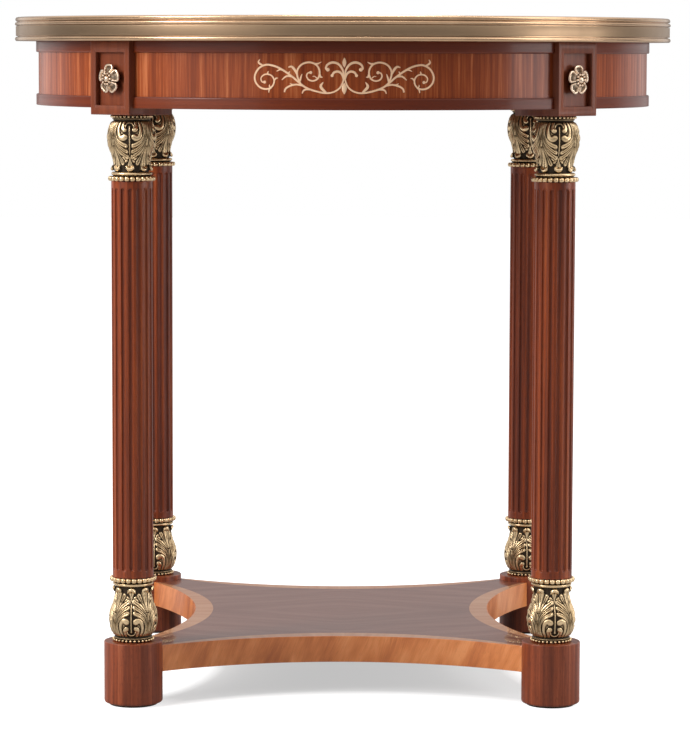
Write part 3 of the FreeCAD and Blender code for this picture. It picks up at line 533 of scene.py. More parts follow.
edgeBrassLook = {"bright": (210, 175, 141), "dull": (182, 150, 119), "cloud": 14.0, "tarnish": 0.7,
                 "gloss": (0.19, 0.27), "bump": 0.006, "metal": 1.0, "satin": (134, 113, 90), "satinShare": 0.6,
                 "satinBlur": 0.14, "satinBand": (0.6482, 0.0049)}  # middle and half height, metres
castBrassLook = {"bright": (252, 222, 178), "dull": (196, 164, 118), "patina": (54, 41, 26), "cloud": 60.0,
                 "tarnish": 0.6, "gloss": (0.18, 0.32), "bump": 0.3, "wornBand": (0.28, 0.88),
                 "wornSwing": 0.25, "patinaBlur": 0.3, "patinaMetal": 0.55}
rosetteBrassLook = {**castBrassLook, "bright": (255, 230, 204), "dull": (204, 172, 144)}
inlayLook = {"bright": (252, 212, 174), "dull": (238, 196, 158), "cloud": 40.0, "tarnish": 0.6,
             "gloss": (0.4, 0.5), "bump": 0.1, "metal": 0.15}
brasses = {"edgeBrass": edgeBrassLook, "castBrass": castBrassLook, "rosetteBrass": rosetteBrassLook,
           "inlayBrass": inlayLook}
finishes.update({name: finishOf(name, drawBrass, look) for name, look in brasses.items()})

steelLook = {"tones": ((120, 118, 112), (186, 186, 182)), "scale": 120.0, "gloss": (0.3, 0.5)}
feltLook = {"tones": ((46, 40, 34), (84, 74, 64)), "scale": 2200.0, "rough": 0.95, "bump": (0.6, 0.0003)}
stainBand = (0.3, 0.7)  # stretch of the noise that the two tones share


def drawSteel(add, look):
    # zinc that is smoother where it is paler
    stain = noise(add, objectPlace(add), look["scale"], 3.0, 0.6)
    smoothest, roughest = look["gloss"]
    return {"Base Color": rampOf(add, stain, zip(stainBand, look["tones"])), "Metallic": 1.0,
            "Roughness": ranged(add, stain, *stainBand, roughest, smoothest)}


def drawFelt(add, look):
    # fine pressed hair
    hair = noise(add, objectPlace(add), look["scale"], 4.0, 0.7)
    return {"Base Color": rampOf(add, hair, zip(stainBand, look["tones"])), "Roughness": look["rough"],
            "Normal": bumped(add, hair, *look["bump"])}


finishes["zincSteel"] = finishOf("zincSteel", drawSteel, steelLook)
finishes["feltPad"] = finishOf("feltPad", drawFelt, feltLook)
print("finishes ready")

# brass edge of the top; depths are in from the widest bead, heights are up from the bottom
edgeBand = {"radius": 330.0, "inner": 324.0, "height": 23.7, "segments": 480,
            "quirk": 2.6, "beadSide": 1.2, "flatDepth": 0.8, "lowBead": (0.0, 2.1, 4.2), "flat": (5.1, 14.7),
            "flatRound": 0.4, "middleBead": (15.3, 17.0, 18.7), "topBead": (19.5, 21.7), "topDepths": (1.4, 0.5, 3.2),
            "crest": 4.9, "rebate": 1.5, "nick": 0.1, "beadSteps": 13, "topSteps": 15}


def makeEdgeBand():
    # bead, plain band, two beads and a flat crest between narrow quirks, carried round the top
    out, low, nick = edgeBand["radius"], apronTop, edgeBand["nick"]
    high = low + edgeBand["height"]
    quirk, side, face = (out - edgeBand[key] for key in ("quirk", "beadSide", "flatDepth"))
    lowBead, flat, middleBead, topBead = (low + np.array(edgeBand[key])
                                          for key in ("lowBead", "flat", "middleBead", "topBead"))
    topSide, topFace, topEnd = out - np.array(edgeBand["topDepths"])
    bend = edgeBand["flatRound"]
    plain = softened([(quirk, flat[0] - nick), (face, flat[0]), (face, flat[1]), (quirk, flat[1] + nick)],
                     [0, bend, bend, 0])
    profile = np.vstack([
        [(edgeBand["inner"], low)],
        arcThrough(*zip((side, out, side), lowBead), edgeBand["beadSteps"]),
        [(quirk, lowBead[2] + 2 * nick)], plain, [(quirk, middleBead[0] - nick)],
        arcThrough(*zip((side, out, side), middleBead), edgeBand["beadSteps"]),
        [(quirk, middleBead[2] + nick), (quirk, topBead[0] - nick)],
        arcThrough((topSide, topBead[0]), (topFace, topBead[1]), (topEnd, high), edgeBand["topSteps"]),
        [(out - edgeBand["crest"], high), (edgeBand["inner"], high - edgeBand["rebate"])],
    ])
    ring = revolved(profile, edgeBand["segments"], out, loopV=True)
    addPiece("top_edge_band", [ring], "edge_brass", sharp=50)


makeEdgeBand()

# apron
apron = {"field": 306.6, "rail": 309.0, "inside": 288.6, "bottom": 575.0, "railHeight": 11.0, "railRound": 1.5,
         "lowerRound": 0.5, "upperRound": 0.3, "segments": 97, "panelGrain": 900.0, "upperGrain": 130.0,
         "lowerGrain": 410.0}


def makeApron():
    # closed profiles bent between the flat sides of two neighbouring posts
    low, high, field, rail = apron["bottom"], apronTop, apron["field"], apron["rail"]
    bend, tall = apron["railRound"], apron["railHeight"]
    panel = np.array([(apron["inside"], low), (field, low), (field, high), (apron["inside"], high)])
    lower = softened([(field, low), (rail, low), (rail, low + tall), (field, low + tall)],
                     [0, apron["lowerRound"], bend, 0], 6)
    upper = softened([(field, high - tall), (rail, high - tall), (rail, high), (field, high)],
                     [0, bend, apron["upperRound"], 0], 6)
    kinds = (("apron_panel", panel, 0.0, "ribbon_mahogany"),
             ("upper_rail", upper, apron["upperGrain"], "mahogany", "railMahogany"),
             ("lower_rail", lower, apron["lowerGrain"], "mahogany", "railMahogany"))
    for number, (side, turn) in enumerate(sides.items()):
        for label, profile, drift, *finish in kinds:
            half = math.pi / 4 - np.arcsin(postHalf / profile[:, 0])
            strip = bent(profile, half, apron["segments"], turn - 90, acrossArc=label == "apron_panel",
                         shift=apron["panelGrain"] * number + drift)
            addPiece(f"{label}_{side}", [strip], *finish)


makeApron()
print("top edge and apron ready")

# posts and rosettes
post = {"soft": 0.6, "recess": (20.0, 25.0), "recessMiddle": 602.5, "recessDepth": 5.0, "recessRound": 0.5,
        "grainStep": 300}


def roundedFrame(halfWidth, halfHeight, reach, middle, y):
    # upright rectangle with rounded corners, anticlockwise as seen from the front
    k = [(halfWidth, -halfHeight), (halfWidth, halfHeight), (-halfWidth, halfHeight), (-halfWidth, -halfHeight)]
    flat = softened(k, [reach] * 4, 5)
    return np.stack([flat[:, 0], np.full(len(flat), y), flat[:, 1] + middle], axis=1)


def makePosts():
    # rectangles carried from the back to the front face, then into the sunk panel
    half, soft, lip = postHalf, post["soft"], post["recessRound"]
    middle, tall = (postBottom + apronTop) / 2, (apronTop - postBottom) / 2
    wide, rise = post["recess"]
    sunk, at = post["recessDepth"], post["recessMiddle"]
    rim = half - soft
    bend = soft * (1 - math.sqrt(0.5))
    loops = [(rim, tall - soft, soft, middle, half), (half, tall, soft, middle, rim), (half, tall, soft, middle, -rim),
             (half - bend, tall - bend, soft, middle, -half + bend), (rim, tall - soft, soft, middle, -half),
             (wide + lip, rise + lip, soft, at, -half), (wide, rise, lip, at, lip - half),
             (wide, rise, lip, at, sunk - half)]
    points = np.stack([roundedFrame(*loop) for loop in loops], axis=1)
    x, y, z = np.moveaxis(points, 2, 0)
    for number, leg in enumerate(legs):
        uv = np.stack([x + np.sign(x) * (half + y) + post["grainStep"] * number, z], axis=2)
        block = patch(points, closed(uv), loopU=True, capV=True)
        addPiece(f"leg_post_{leg}", onLeg([block], leg), "mahogany", "plainMahogany", sharp=50)


rosette = {"radius": 14.8, "petals": 5, "lift": 3.8, "petalHeight": 5.0, "droop": 2.4, "hub": (6.2, 4.6),
           "boss": (3.3, 11.4), "pearls": 10, "pearlRing": 5.3, "pearl": 1.3, "wave": 0.012, "waves": 18, "dish": 0.62,
           "round": 0.24, "dent": (0.04, 0.16), "gap": (0.14, 0.1),  # depth and width, as shares of a petal
           "hollowTone": 0.25, "edgeTone": 0.15, "steps": 240}
rosetteRim = {"shares": [0.945, 0.98, 1.0, 0.985, 0.92, 0.55], "heights": [0.96, 0.84, 0.6, 0.3, 0.0, -0.2]}


def makeRosettes():
    # polar relief: broad dished petals with rolled wavy rims and narrow gaps, falling back towards their ends,
    # round a raised hub that carries the boss and its ring of pearls
    theta = turns(rosette["steps"])
    share = np.concatenate([np.linspace(0.02, 0.9, 34), rosetteRim["shares"]])
    sector = fullTurn / rosette["petals"]
    swing = (theta - math.pi / 2 + sector / 2) % sector - sector / 2
    a = np.abs(swing) / (sector / 2)
    wavy = rosette["wave"] * np.cos(swing * rosette["waves"])
    (dent, dentWidth), (gap, gapWidth) = rosette["dent"], rosette["gap"]
    outline = rosette["radius"] * (1 - rosette["round"] * a**2.2 - dent * np.exp(-((a / dentWidth) ** 2))
                                   - gap * np.exp(-(((1 - a) / gapWidth) ** 2)) + wavy * (1 - a**6))
    rho = outline * share
    rolled = np.maximum(smooth(0.5, 0.72, a), smooth(0.74, 0.88, share + wavy))
    groove = 1 - 0.95 * smooth(0.88, 1.0, a) * smooth(0.35, 0.6, share)
    dished = 1 - rosette["dish"] * (1 - rolled) * smooth(0.42, 0.6, share)
    h = rosette["petalHeight"] * dished * groove * smooth(0.2, 0.45, share)
    h = h - rosette["droop"] * smooth(0.45, 1.05, share) * (h > 0.5)
    relief = dished * np.clip(groove * 1.3 - 0.3, 0, 1)
    hubRadius, hubHeight = rosette["hub"]
    inHub = 1 - smooth(hubRadius, hubRadius + 0.9, rho)
    h = np.maximum(h, hubHeight * inHub)
    relief = np.where(inHub > 0.02, np.minimum(relief, rosette["hollowTone"] + 0.3 * (1 - inHub)), relief)
    h[:, -6:] = h[:, -7:-6] * rosetteRim["heights"]
    # the rolled edge's outer fall and the petals' undersides down to the recess floor get a dark tone: painted shade
    # under the petals
    relief[:, -3:] = rosette["edgeTone"]
    h = h + rosette["lift"]
    h[:, -1] = 0.0
    points = np.stack([rho * np.cos(theta), -h, rho * np.sin(theta)], axis=2)[:, ::-1]
    flower = patch(points, loopU=True, capV=True, relief=relief[:, ::-1])
    seat = rosette["lift"] + hubHeight
    bossRadius, bossHeight = rosette["boss"]
    boss = moved(bead(bossRadius, bossRadius, bossHeight - seat, nu=24, nv=15), y=-seat)
    ring, size = rosette["pearlRing"], rosette["pearl"]
    pearls = [moved(bead(size, size, size * 1.3), x=ring * math.cos(k), y=-seat - 0.3, z=ring * math.sin(k))
              for k in turns(rosette["pearls"]).ravel()]
    shapes = [moved(p, y=post["recessDepth"] - postHalf, z=post["recessMiddle"]) for p in [flower, boss, *pearls]]
    for leg in legs:
        addPiece(f"rosette_{leg}", onLeg(shapes, leg), "cast_brass", "rosetteBrass", sharp=70)


makePosts()
makeRosettes()
print("posts and rosettes ready")

# fluted columns
column = {"radius": 19.65, "bottom": 125.0, "top": 505.5, "spigot": 14.0, "flutes": 16, "fluteWidth": 4.4,
          "fluteDepth": 2.0, "margin": 6.6, "arris": (0.3, 0.7), "grainStep": 500, "hollowSteps": 15,
          "endSteps": 10, "shaftStart": 6.0, "shaftRows": 24}
landShares = np.array([0.05, 0.12, 0.22, 0.4, 0.6, 0.78, 0.88, 0.95])  # places across the flat between two flutes
endRows = np.array([3.0, 0.7, 0.3])  # rows beyond the flutes' ends


def makeColumns():
    # round shaft with hollow flutes: depth is that of a round-ended groove at the distance from its middle line,
    # and the flats between the flutes fall away towards their edges
    radius, half, deep = column["radius"], column["fluteWidth"] / 2, column["fluteDepth"]
    pitch = fullTurn / column["flutes"]
    hollow = np.sin(np.linspace(-0.5, 0.5, column["hollowSteps"]) * math.pi) * half / radius
    plain = half / radius + landShares * (pitch - 2 * half / radius)
    angle = (np.concatenate([hollow, plain]) + turns(column["flutes"])).reshape(-1, 1)
    bottom, top = column["bottom"], column["top"]
    low, high = bottom + column["margin"], top - column["margin"]
    end = half * (1 - np.cos(np.linspace(0, 0.5, column["endSteps"]) * math.pi))
    start = column["shaftStart"]
    rows = np.concatenate([[bottom], low - endRows, low + end,
                           np.linspace(low + start, high - start, column["shaftRows"]), high - end[::-1],
                           high + endRows[::-1], [top]])
    offset = (angle + pitch / 2) % pitch - pitch / 2
    run = np.maximum(0, np.abs(rows - (low + high) / 2) - ((high - low) / 2 - half))
    away = np.hypot(offset * radius, run)
    drop, reach = column["arris"]
    fall = drop * np.clip(1 - (away - half) / reach, 0, 1) ** 2
    r = radius - fall - (deep - drop) * np.sqrt(np.clip(1 - (away / half) ** 2, 0, 1))
    spigot = np.full((len(angle), 2), column["spigot"])
    z = np.concatenate([[footTop, bottom], rows, [top, postBottom]])
    points = polar(np.hstack([spigot, r, spigot]), angle - math.pi / 2, z)
    around = np.vstack([angle, angle[:1] + fullTurn]) * radius
    for number, (leg, (_, columnTurn, _)) in enumerate(legs.items()):
        uv = np.stack(np.broadcast_arrays(around + column["grainStep"] * number, z), axis=2)
        shaft = patch(points, uv, loopU=True, capV=True)
        addPiece(f"column_{leg}", onLeg([shaft], leg, columnTurn), "mahogany", sharp=30)


makeColumns()

# cast acanthus mounts
mount = {"bellLow": 5.4, "bellHigh": 54.5, "columns": 54, "rows": 178, "relief": 1.9, "neckRelief": 1.4,
         "sunk": 0.25, "groove": 0.6, "mmPerDegree": 0.3665, "tips": [(3.9, 0.0), (4.0, 45.0)],  # half width and turn
         "bell": [((17.4, 5.4), (22.1, 21.0), (19.3, 35.0)), ((19.3, 35.0), (17.0, 44.5), (16.4, 54.5))],
         "collar": ((17.6, 54.5), (19.5, 55.9), (18.6, 57.3)), "veinHalf": 0.55, "floor": 0.5,
         "stem": (0.85, 0.7), "knob": (5.6, 1.0, 1.2)}  # height and half width; rise and half sizes
mountBeads = [  # half sizes, boxiness, count, ring's radius, height and first turn
    ((2.45, 2.25, 2.5), 0.7, 24, 20.2, 60.65, 7.5),
    ((1.22, 1.3, 1.75), 0.9, 30, 18.6, 1.65, 6.0),
]
# radius, height and brightness of the plain mouldings under the bell and over its collar
mountFoot = np.array([(14.2, 0, 0.04), (17.4, 0, 0.05), (17.5, 0.3, 0.05), (17.2, 0.5, 0.04), (17.2, 3.1, 0.04),
                      (18.2, 3.3, 0.3), (18.5, 3.7, 0.65), (18.3, 4.2, 0.4), (17.6, 4.5, 0.08), (17.2, 5.0, 0.04)])
mountHead = np.array([(17.8, 57.6, 0.05), (17.9, 58.2, 0.05), (19.4, 58.5, 0.1), (19.4, 62.8, 0.12), (19.0, 63.0, 0.2),
                      (14.2, 63.0, 0.2)])
collarTone = [0.15, 0.5, 0.8, 0.9, 0.95, 0.9, 0.8, 0.6, 0.35]
tipPath = [(16.0, 43.0), (16.6, 47.2), (17.1, 50.2), (17.8, 52.2), (18.8, 52.6), (19.4, 51.8), (19.0, 50.7),
           (17.9, 50.3)]
curl = {"thick": 0.55, "crown": 0.4, "sink": 0.2, "hangIn": 0.8, "hangDown": 2.7, "steps": 30, "around": 20}
# half of one leaf unrolled. Each finger: its middle line in degrees from the stem (0) to the rib (45) and share of
# the bell's height, its half width in mm at root and tip, the stretch where it swells, its sunk vein
leafFingers = {
    "loop": ([(0, 0.04), (6, 0.048), (10, 0.08), (11.5, 0.12)], (0.75, 0.75), (0, 1), 0.0),
    "lowerScallop": ([(16, 0.02), (17.5, 0.09), (16.5, 0.14), (13, 0.175)], (1.7, 2.6), (0.1, 0.9), 0.0),
    "upperScallop": ([(27, 0.02), (29.3, 0.12), (28.5, 0.22), (24.5, 0.31), (17, 0.34), (12, 0.315)],
                     (1.7, 3.1), (0.3, 0.95), 0.0),
    "lowFinger": ([(34.5, 0.02), (37.8, 0.12), (37.8, 0.22), (35.5, 0.31), (29.5, 0.39), (21, 0.448), (10.2, 0.488)],
                  (0.75, 2.5), (0.3, 0.85), 0.45),
    "lowTip": ([(22, 0.492), (10.5, 0.54)], (0.8, 1.3), (0, 1), 0.0),
    "middleFinger": ([(37.6, 0.02), (40.7, 0.12), (40.8, 0.23), (38.7, 0.345), (33, 0.44), (23.5, 0.526), (9.8, 0.6)],
                     (0.75, 2.6), (0.3, 0.85), 0.55),
    "middleTip": ([(22, 0.582), (9.5, 0.647)], (0.8, 1.3), (0, 1), 0.0),
    "highFinger": ([(40.7, 0.02), (43.2, 0.16), (42.7, 0.33), (39, 0.45), (32, 0.55), (21.5, 0.637), (9, 0.704)],
                   (0.75, 2.9), (0.35, 0.8), 0.6),
    "highTip": ([(24, 0.68), (14.5, 0.742)], (0.9, 1.5), (0, 1), 0.0),
    "ear": ([(41, 0.5), (36.5, 0.62), (31.5, 0.71), (27, 0.775), (24, 0.82)], (0.9, 2.5), (0.2, 0.9), 0.75),
    "leafTip": ([(45, 0.5), (45, 0.75), (45, 0.97)], (1.3, 5.4), (0.0, 1.05), 0.5),
    "fleur": ([(0, 0.72), (0, 0.83), (0, 0.95)], (0.9, 4.4), (0, 1.1), 0.5),
    "fleurSide": ([(5, 0.745), (9.5, 0.775), (13, 0.79)], (0.6, 1.3), (0, 1), 0.0),
    "rib": ([(45, 0.02), (45, 0.3), (45, 0.8)], (0.75, 0.75), (0, 1), 0.0),
}
leafFloors = [([(22.5, 0.06), (22.5, 0.18), (20.5, 0.26)], (2.0, 2.8)),
              ([(42, 0.1), (38, 0.42), (30, 0.54), (22, 0.58)], (2.4, 4.6)),
              ([(43, 0.45), (38, 0.62), (33, 0.74)], (2.2, 2.8))]


def fingerGap(arc, rise, path, halves, swell=(0, 1)):
    # how far inside a finger's edge each spot lies in mm, the local half width, and the place along the finger
    tall = mount["bellHigh"] - mount["bellLow"]
    line = curveThrough([(d * mount["mmPerDegree"], v * tall) for d, v in path], 48)
    start, step = line[:-1], np.diff(line, axis=0)
    spot = np.stack([arc, rise], axis=-1)[:, :, None, :]
    t = np.clip(((spot - start) * step).sum(-1) / (step**2).sum(-1), 0, 1)
    gap = np.linalg.norm(spot - start - t[..., None] * step, axis=-1)
    share = (np.arange(len(step)) + t) / len(step)
    half = halves[0] + (halves[1] - halves[0]) * smooth(*swell, share)
    best = (half - gap).argmax(axis=2)[..., None]
    return [np.take_along_axis(x, best, 2)[..., 0] for x in (half - gap, half, share)]


def leafRelief():
    # half a leaf and half a stem as heights 0 to 1: rounded fingers with sunk veins, a groove where two fingers
    # meet, and a lower floor that dips beside each finger; mirrored and repeated round the bell
    tall, perDegree = mount["bellHigh"] - mount["bellLow"], mount["mmPerDegree"]
    degrees = (np.arange(mount["columns"]) + 0.5) * 45 / mount["columns"]
    arc, rise = np.meshgrid(degrees * perDegree, np.linspace(0, tall, mount["rows"]), indexing="ij")
    share = rise / tall
    insides, ridges = [], []
    for path, halves, swell, vein in leafFingers.values():
        inside, half, along = fingerGap(arc, rise, path, halves, swell)
        x = np.clip(1 - inside / half, 0, 1)
        sunk = vein * np.exp(-((x * half / mount["veinHalf"]) ** 2)) * smooth(0.25, 0.5, along)
        insides.append(inside)
        ridges.append((0.82 + 0.18 * smooth(0.4, 0.8, along)) * np.sqrt(1 - x**2.6) * (1 - sunk))
    order = np.argsort(insides, axis=0)
    deepest, second = (np.take_along_axis(np.array(insides), order[k][None], 0)[0] for k in (-1, -2))
    field = np.take_along_axis(np.array(ridges), order[-1:], 0)[0]
    cut = smooth(-0.1, 0.3, second) * np.exp(-(((deepest - second) / mount["groove"]) ** 2))
    field = field * (1 - (0.45 + 0.4 * smooth(0.1, 0.35, share)) * cut)
    floor = np.max([fingerGap(arc, rise, *pad)[0] for pad in leafFloors], axis=0)
    field = np.maximum(field, mount["floor"] * smooth(0, 0.8, floor) * smooth(0.05, 0.6, -deepest))
    high, wide = mount["stem"]
    stem = high * (1 - smooth(0.5, 1.0, arc / wide)) * smooth(0.1, 0.12, share) * (1 - smooth(0.6, 0.75, share))
    at, wide, high = mount["knob"]
    knob = np.sqrt(np.clip(1 - np.hypot(arc / wide, (rise - at) / high) ** 2, 0, 1))
    field = np.maximum(field, np.maximum(stem, knob)) * (1 - smooth(0.955, 0.99, share))
    return np.tile(np.concatenate([field, field[::-1]]), (4, 1))


def curledTip(halfWidth):
    # thick tongue carried along a path that rises from the neck, bends outward and rolls back down; its sides hang
    path = curveThrough(tipPath, curl["steps"])
    step = headings(path)
    t = np.linspace(0, 1, curl["steps"])
    tapered = np.sqrt(np.clip(1 - ((t - 0.72) / 0.3).clip(0) ** 2, 0.1, 1))
    a = turns(curl["around"])
    x = np.cos(a) * halfWidth * (0.5 + 0.5 * smooth(0.1, 0.6, t)) * tapered
    thick = np.sin(a) * curl["thick"] + curl["crown"] * np.cos(a) ** 2 - curl["sink"]
    hang = np.abs(np.cos(a)) ** 2.4 * smooth(0.35, 0.7, t)
    r = path[:, 0] + step[:, 1] * thick - curl["hangIn"] * hang
    z = path[:, 1] - step[:, 0] * thick - curl["hangDown"] * hang
    # tone for the patina: lighter at the tongue's side edges and, from the bend on, on the outer face of the roll;
    # darker across the middle of the faces before the bend and on the inner face of the roll, which is painted shade
    # under the roll
    crown = (0.5 - 0.5 * np.sin(a)) * smooth(0.4, 0.6, t)
    relief = 0.25 + 0.75 * np.maximum(np.abs(np.cos(a)) ** 3, crown)
    return patch(np.stack([x, -r, z], axis=2), loopU=True, capV=True, relief=relief)


def makeMounts():
    # body profile carried round the axis, the bell swollen by the leaf relief, then beads and curled tips
    relief = leafRelief()
    count = len(relief)
    first, second = (arcThrough(*arc, 60) for arc in mount["bell"])
    bell = np.vstack([first, second[1:]])
    rows = np.linspace(mount["bellLow"], mount["bellHigh"], mount["rows"])
    body = np.interp(rows, bell[:, 1], bell[:, 0])
    run = np.linspace(0, 1, mount["rows"])
    ends = smooth(0, 0.03, run) * (1 - smooth(0.975, 1.0, run))
    height = mount["relief"] + (mount["neckRelief"] - mount["relief"]) * smooth(0.5, 0.75, run)
    swollen = body - mount["sunk"] + height * relief * ends
    # the tone, not the shape, is made darker over the top of the bell, under the curled tips that hang over it:
    # painted shade
    hollow = 1 - 0.7 * smooth(0.85, 0.92, run)
    collar = np.column_stack([arcThrough(*mount["collar"], len(collarTone)), collarTone])
    above = np.vstack([collar, mountHead])
    wide = lambda line: np.broadcast_to(line, (count, len(line)))
    r = np.hstack([wide(mountFoot[:, 0]), swollen, wide(above[:, 0])])
    z = np.concatenate([mountFoot[:, 1], rows, above[:, 1]])
    tone = np.hstack([wide(mountFoot[:, 2]), relief * ends * hollow, wide(above[:, 2])])
    angle = turns(count) + math.pi / count - math.pi / 4
    shapes = [patch(polar(r, angle, z), loopU=True, loopV=True, relief=tone)]
    for sizes, boxy, *place in mountBeads:
        shapes += ringOf(bead(*sizes, boxy=boxy, nu=10, nv=7), *place)
    for halfWidth, turn in mount["tips"]:
        shapes += ringOf(curledTip(halfWidth), 4, first=turn)
    turnedOver = [moved(p, over=True, z=postBottom) for p in shapes]
    for leg, (_, _, mountTurn) in legs.items():
        addPiece(f"base_mount_{leg}", onLeg(shapes, leg, mountTurn, z=footTop), "cast_brass", sharp=75)
        addPiece(f"capital_{leg}", onLeg(turnedOver, leg, mountTurn), "cast_brass", sharp=75)


makeMounts()
print("columns and mounts ready")

# feet
foot = {"radius": 28.2, "bottom": 2.0, "topRound": 1.2, "bottomRound": 2.8, "bore": 4.5, "steps": 128, "rings": 6,
        "sideGrain": 220.0, "endGrain": 40.0, "roundSteps": 9, "clear": 0.01}


def makeFeet():
    # turned drum: side with rounded edges, and flat ends with their own grain
    radius, low, high, bore = foot["radius"], foot["bottom"], footTop, foot["bore"]
    under, over, count, rings = (foot[key] for key in ("bottomRound", "topRound", "steps", "rings"))
    reach = [0, under - foot["clear"], over - foot["clear"], 0]
    edge = softened([(radius - under, low), (radius, low), (radius, high), (radius - over, high)], reach,
                    foot["roundSteps"])
    for number, leg in enumerate(legs):
        shapes = [revolved(edge, count, radius, shift=foot["sideGrain"] * number)]
        for z, bend, order in ((high, over, 1), (low, under, -1)):
            line = np.stack([np.linspace(radius - bend, bore, rings), np.full(rings, z)], axis=1)[::order]
            end = revolved(line, count, radius)
            flat = end["points"].reshape(count, rings, 3)[:, :, :2] + foot["endGrain"] * number
            shapes.append({**end, "uv": [cells(closed(flat))]})
        shapes.append(revolved([(bore, high), (bore, low)], count, radius))
        addPiece(f"foot_{leg}", onLeg(shapes, leg), "mahogany", "footMahogany", sharp=45, weld=True)


makeFeet()

# shelf edges
shelf = {"top": 56.7, "bottom": 31.1, "edgeRadius": 321.0, "veneer": 0.8, "round": 0.4, "segments": 81,
         "grainStep": 700.0}


def makeShelfEdges():
    # thin strip bent along each hollow edge, cut where it meets the feet
    low, high, inner, bend = (shelf[key] for key in ("bottom", "top", "edgeRadius", "round"))
    outer = inner + shelf["veneer"]
    profile = softened([(inner, low), (inner, high), (outer, high), (outer, low)], [bend, bend, 0, 0], 5)[::-1]
    leg = legRadius * math.sqrt(0.5)
    far = math.hypot(leg, shelfCentre - leg)
    r = profile[:, 0]
    away = np.arccos((r**2 + far**2 - foot["radius"] ** 2) / (2 * r * far))
    half = math.atan2(leg, shelfCentre - leg) - away
    for number, (side, turn) in enumerate(sides.items()):
        facing = math.radians(turn - 90)
        centre = (shelfCentre * math.cos(facing), shelfCentre * math.sin(facing))
        strip = bent(profile, half, shelf["segments"], turn + 90, centre, acrossArc=True,
                     shift=shelf["grainStep"] * number)
        addPiece(f"shelf_edge_{side}", [strip], "edge_veneer", sharp=50)


makeShelfEdges()
print("feet and shelf edges ready")

# scroll inlay
inlay = {"middle": 606.65, "lift": 0.35, "budEnd": 0.12,
         "buds": [(7.6, 16.6, 1.7), (-17, -6.4, 2.2)]}  # ends and half width of a bud
ribbonSection = np.array([(-1.0, -0.2), (-0.8, 0.8), (0.0, 1.0), (0.8, 0.8), (1.0, -0.2), (0.0, -0.4)])  # across, up
dotSection = np.array([(1.0, -0.4), (1.0, 0.2), (0.85, 0.9), (0.4, 1.1)])  # share of the radius, up
# right half in mm from the middle of the motif: points of the stem or leaf, then half widths at its start,
# middle and end, and the radius of the ball it ends in
scrollStems = [
    ([(0.7, 1.5), (0.8, -4), (3.5, -10.4), (8.8, -14.5), (15.9, -16), (25.3, -14.5), (34.7, -11.3), (40.6, -7.3),
      (46.5, -2.2), (53.6, 3), (59.4, 6.5), (65.3, 8.9), (72.4, 9.9), (78.3, 7.6), (82, 3.4), (83.6, -1.6),
      (82.4, -6.8), (78.4, -10.9), (73.4, -12.4), (68.7, -11.4), (65.8, -8.2), (65.2, -4), (67.2, -0.4), (71, 1.2),
      (75.2, 0.4), (77.6, -2.6), (76.6, -5.8), (74.2, -6)], 0.7, 0.95, 0.6, 1.4),
    ([(40.2, -7.8), (43.2, -1), (43.3, 5), (39.2, 10.3), (32.6, 12.2), (26.6, 10.5), (23.3, 6.2), (22.8, 1.2),
      (24.6, -2.8), (28.4, -4.7), (32.6, -3.8), (34.7, -0.6), (33.7, 2.3), (31, 2.9)], 0.8, 0.9, 0.65, 1.45),
    ([(0.5, 0), (1.6, 5.6), (5.3, 10.6), (10.6, 12.2), (15.4, 10.2), (17, 6.6), (15.2, 5.6)], 0.6, 1.15, 0.8, 1.7),
    ([(0.6, -4), (2.2, 1.4), (5.6, 3.8), (9.4, 3), (11.2, 0.2)], 0.6, 1.1, 0.9, 1.4),
    ([(75.6, 9.1), (79, 11), (80, 12.6), (78.8, 14.9)], 0.6, 0.9, 0.35, 0),
    ([(56.6, 4.6), (59.6, 5.4), (62.8, 4)], 0.4, 0.65, 0.3, 0),
    ([(43.4, 0.4), (45.6, 5), (48.6, 8.2), (51.8, 7.7)], 0.5, 1.2, 0.5, 0),
    ([(49.4, -0.6), (51.6, 1.4), (50.4, 4)], 0.5, 0.85, 0.35, 0),
    ([(48.6, -1), (53.4, -0.6), (57.8, -3.9)], 0.6, 0.85, 0.35, 0),
    ([(37.6, -9.6), (44, -8.2), (50.4, -9.6), (54.2, -12), (55.4, -15.2)], 0.6, 0.9, 0.8, 0),
    ([(46.2, -8.6), (48.8, -8), (50.2, -7)], 0.5, 0.6, 0.2, 0),
    ([(30.4, -13), (35, -12.6), (37.6, -13.8), (38.9, -16.4)], 0.5, 0.9, 0.4, 0),
    ([(28.4, 11.2), (24.6, 11), (21.2, 12.6)], 0.6, 0.8, 0.25, 0),
    ([(23, 2.4), (22, -0.8), (20, -1.4)], 0.6, 1.0, 0.3, 0),
    ([(24.8, -2.6), (27.4, -0.6), (29.4, -0.8)], 0.4, 0.5, 0.2, 0),
    ([(16.4, -15.6), (20.2, -12.2), (21.6, -9.4), (19.4, -5.8)], 0.5, 1.35, 0.25, 0),
    ([(41.2, -6.4), (40.2, -2), (39, 1.6)], 0.5, 0.85, 0.25, 0),
    ([(68.6, 0.6), (71.2, 1.6), (70.6, 4)], 0.5, 0.8, 0.3, 0),
    ([(65.3, -5), (63.4, -2.6), (61.4, -2.4)], 0.5, 0.7, 0.25, 0),
    ([(67.4, -11), (69.6, -12.6), (70.2, -15.8)], 0.5, 0.8, 0.3, 0),
    ([(68.2, -11.4), (69.6, -9.6), (69.4, -8.2)], 0.45, 0.6, 0.2, 0),
]


def onField(x, z, lift):
    # a spot of the panel's unrolled face wrapped on the bent field
    radius = apron["field"]
    return polar(radius + inlay["lift"] * lift, x / radius - math.pi / 2, z + inlay["middle"])


def ribbon(line, half):
    # crowned strip along a line in the panel's unrolled face
    step = headings(line)
    across = ribbonSection[:, 0] * half[:, None]
    x, z = line[:, :1] + step[:, 1:] * across, line[:, 1:] - step[:, :1] * across
    return patch(onField(x, z, ribbonSection[:, 1]), loopV=True, capU=True)


def dot(centre, radius):
    # small crowned disc on the bent field
    a, share = turns(16), dotSection[:, 0] * radius
    points = onField(centre[0] + np.cos(a) * share, centre[1] + np.sin(a) * share, dotSection[:, 1])
    return patch(points, loopU=True, capV=True)


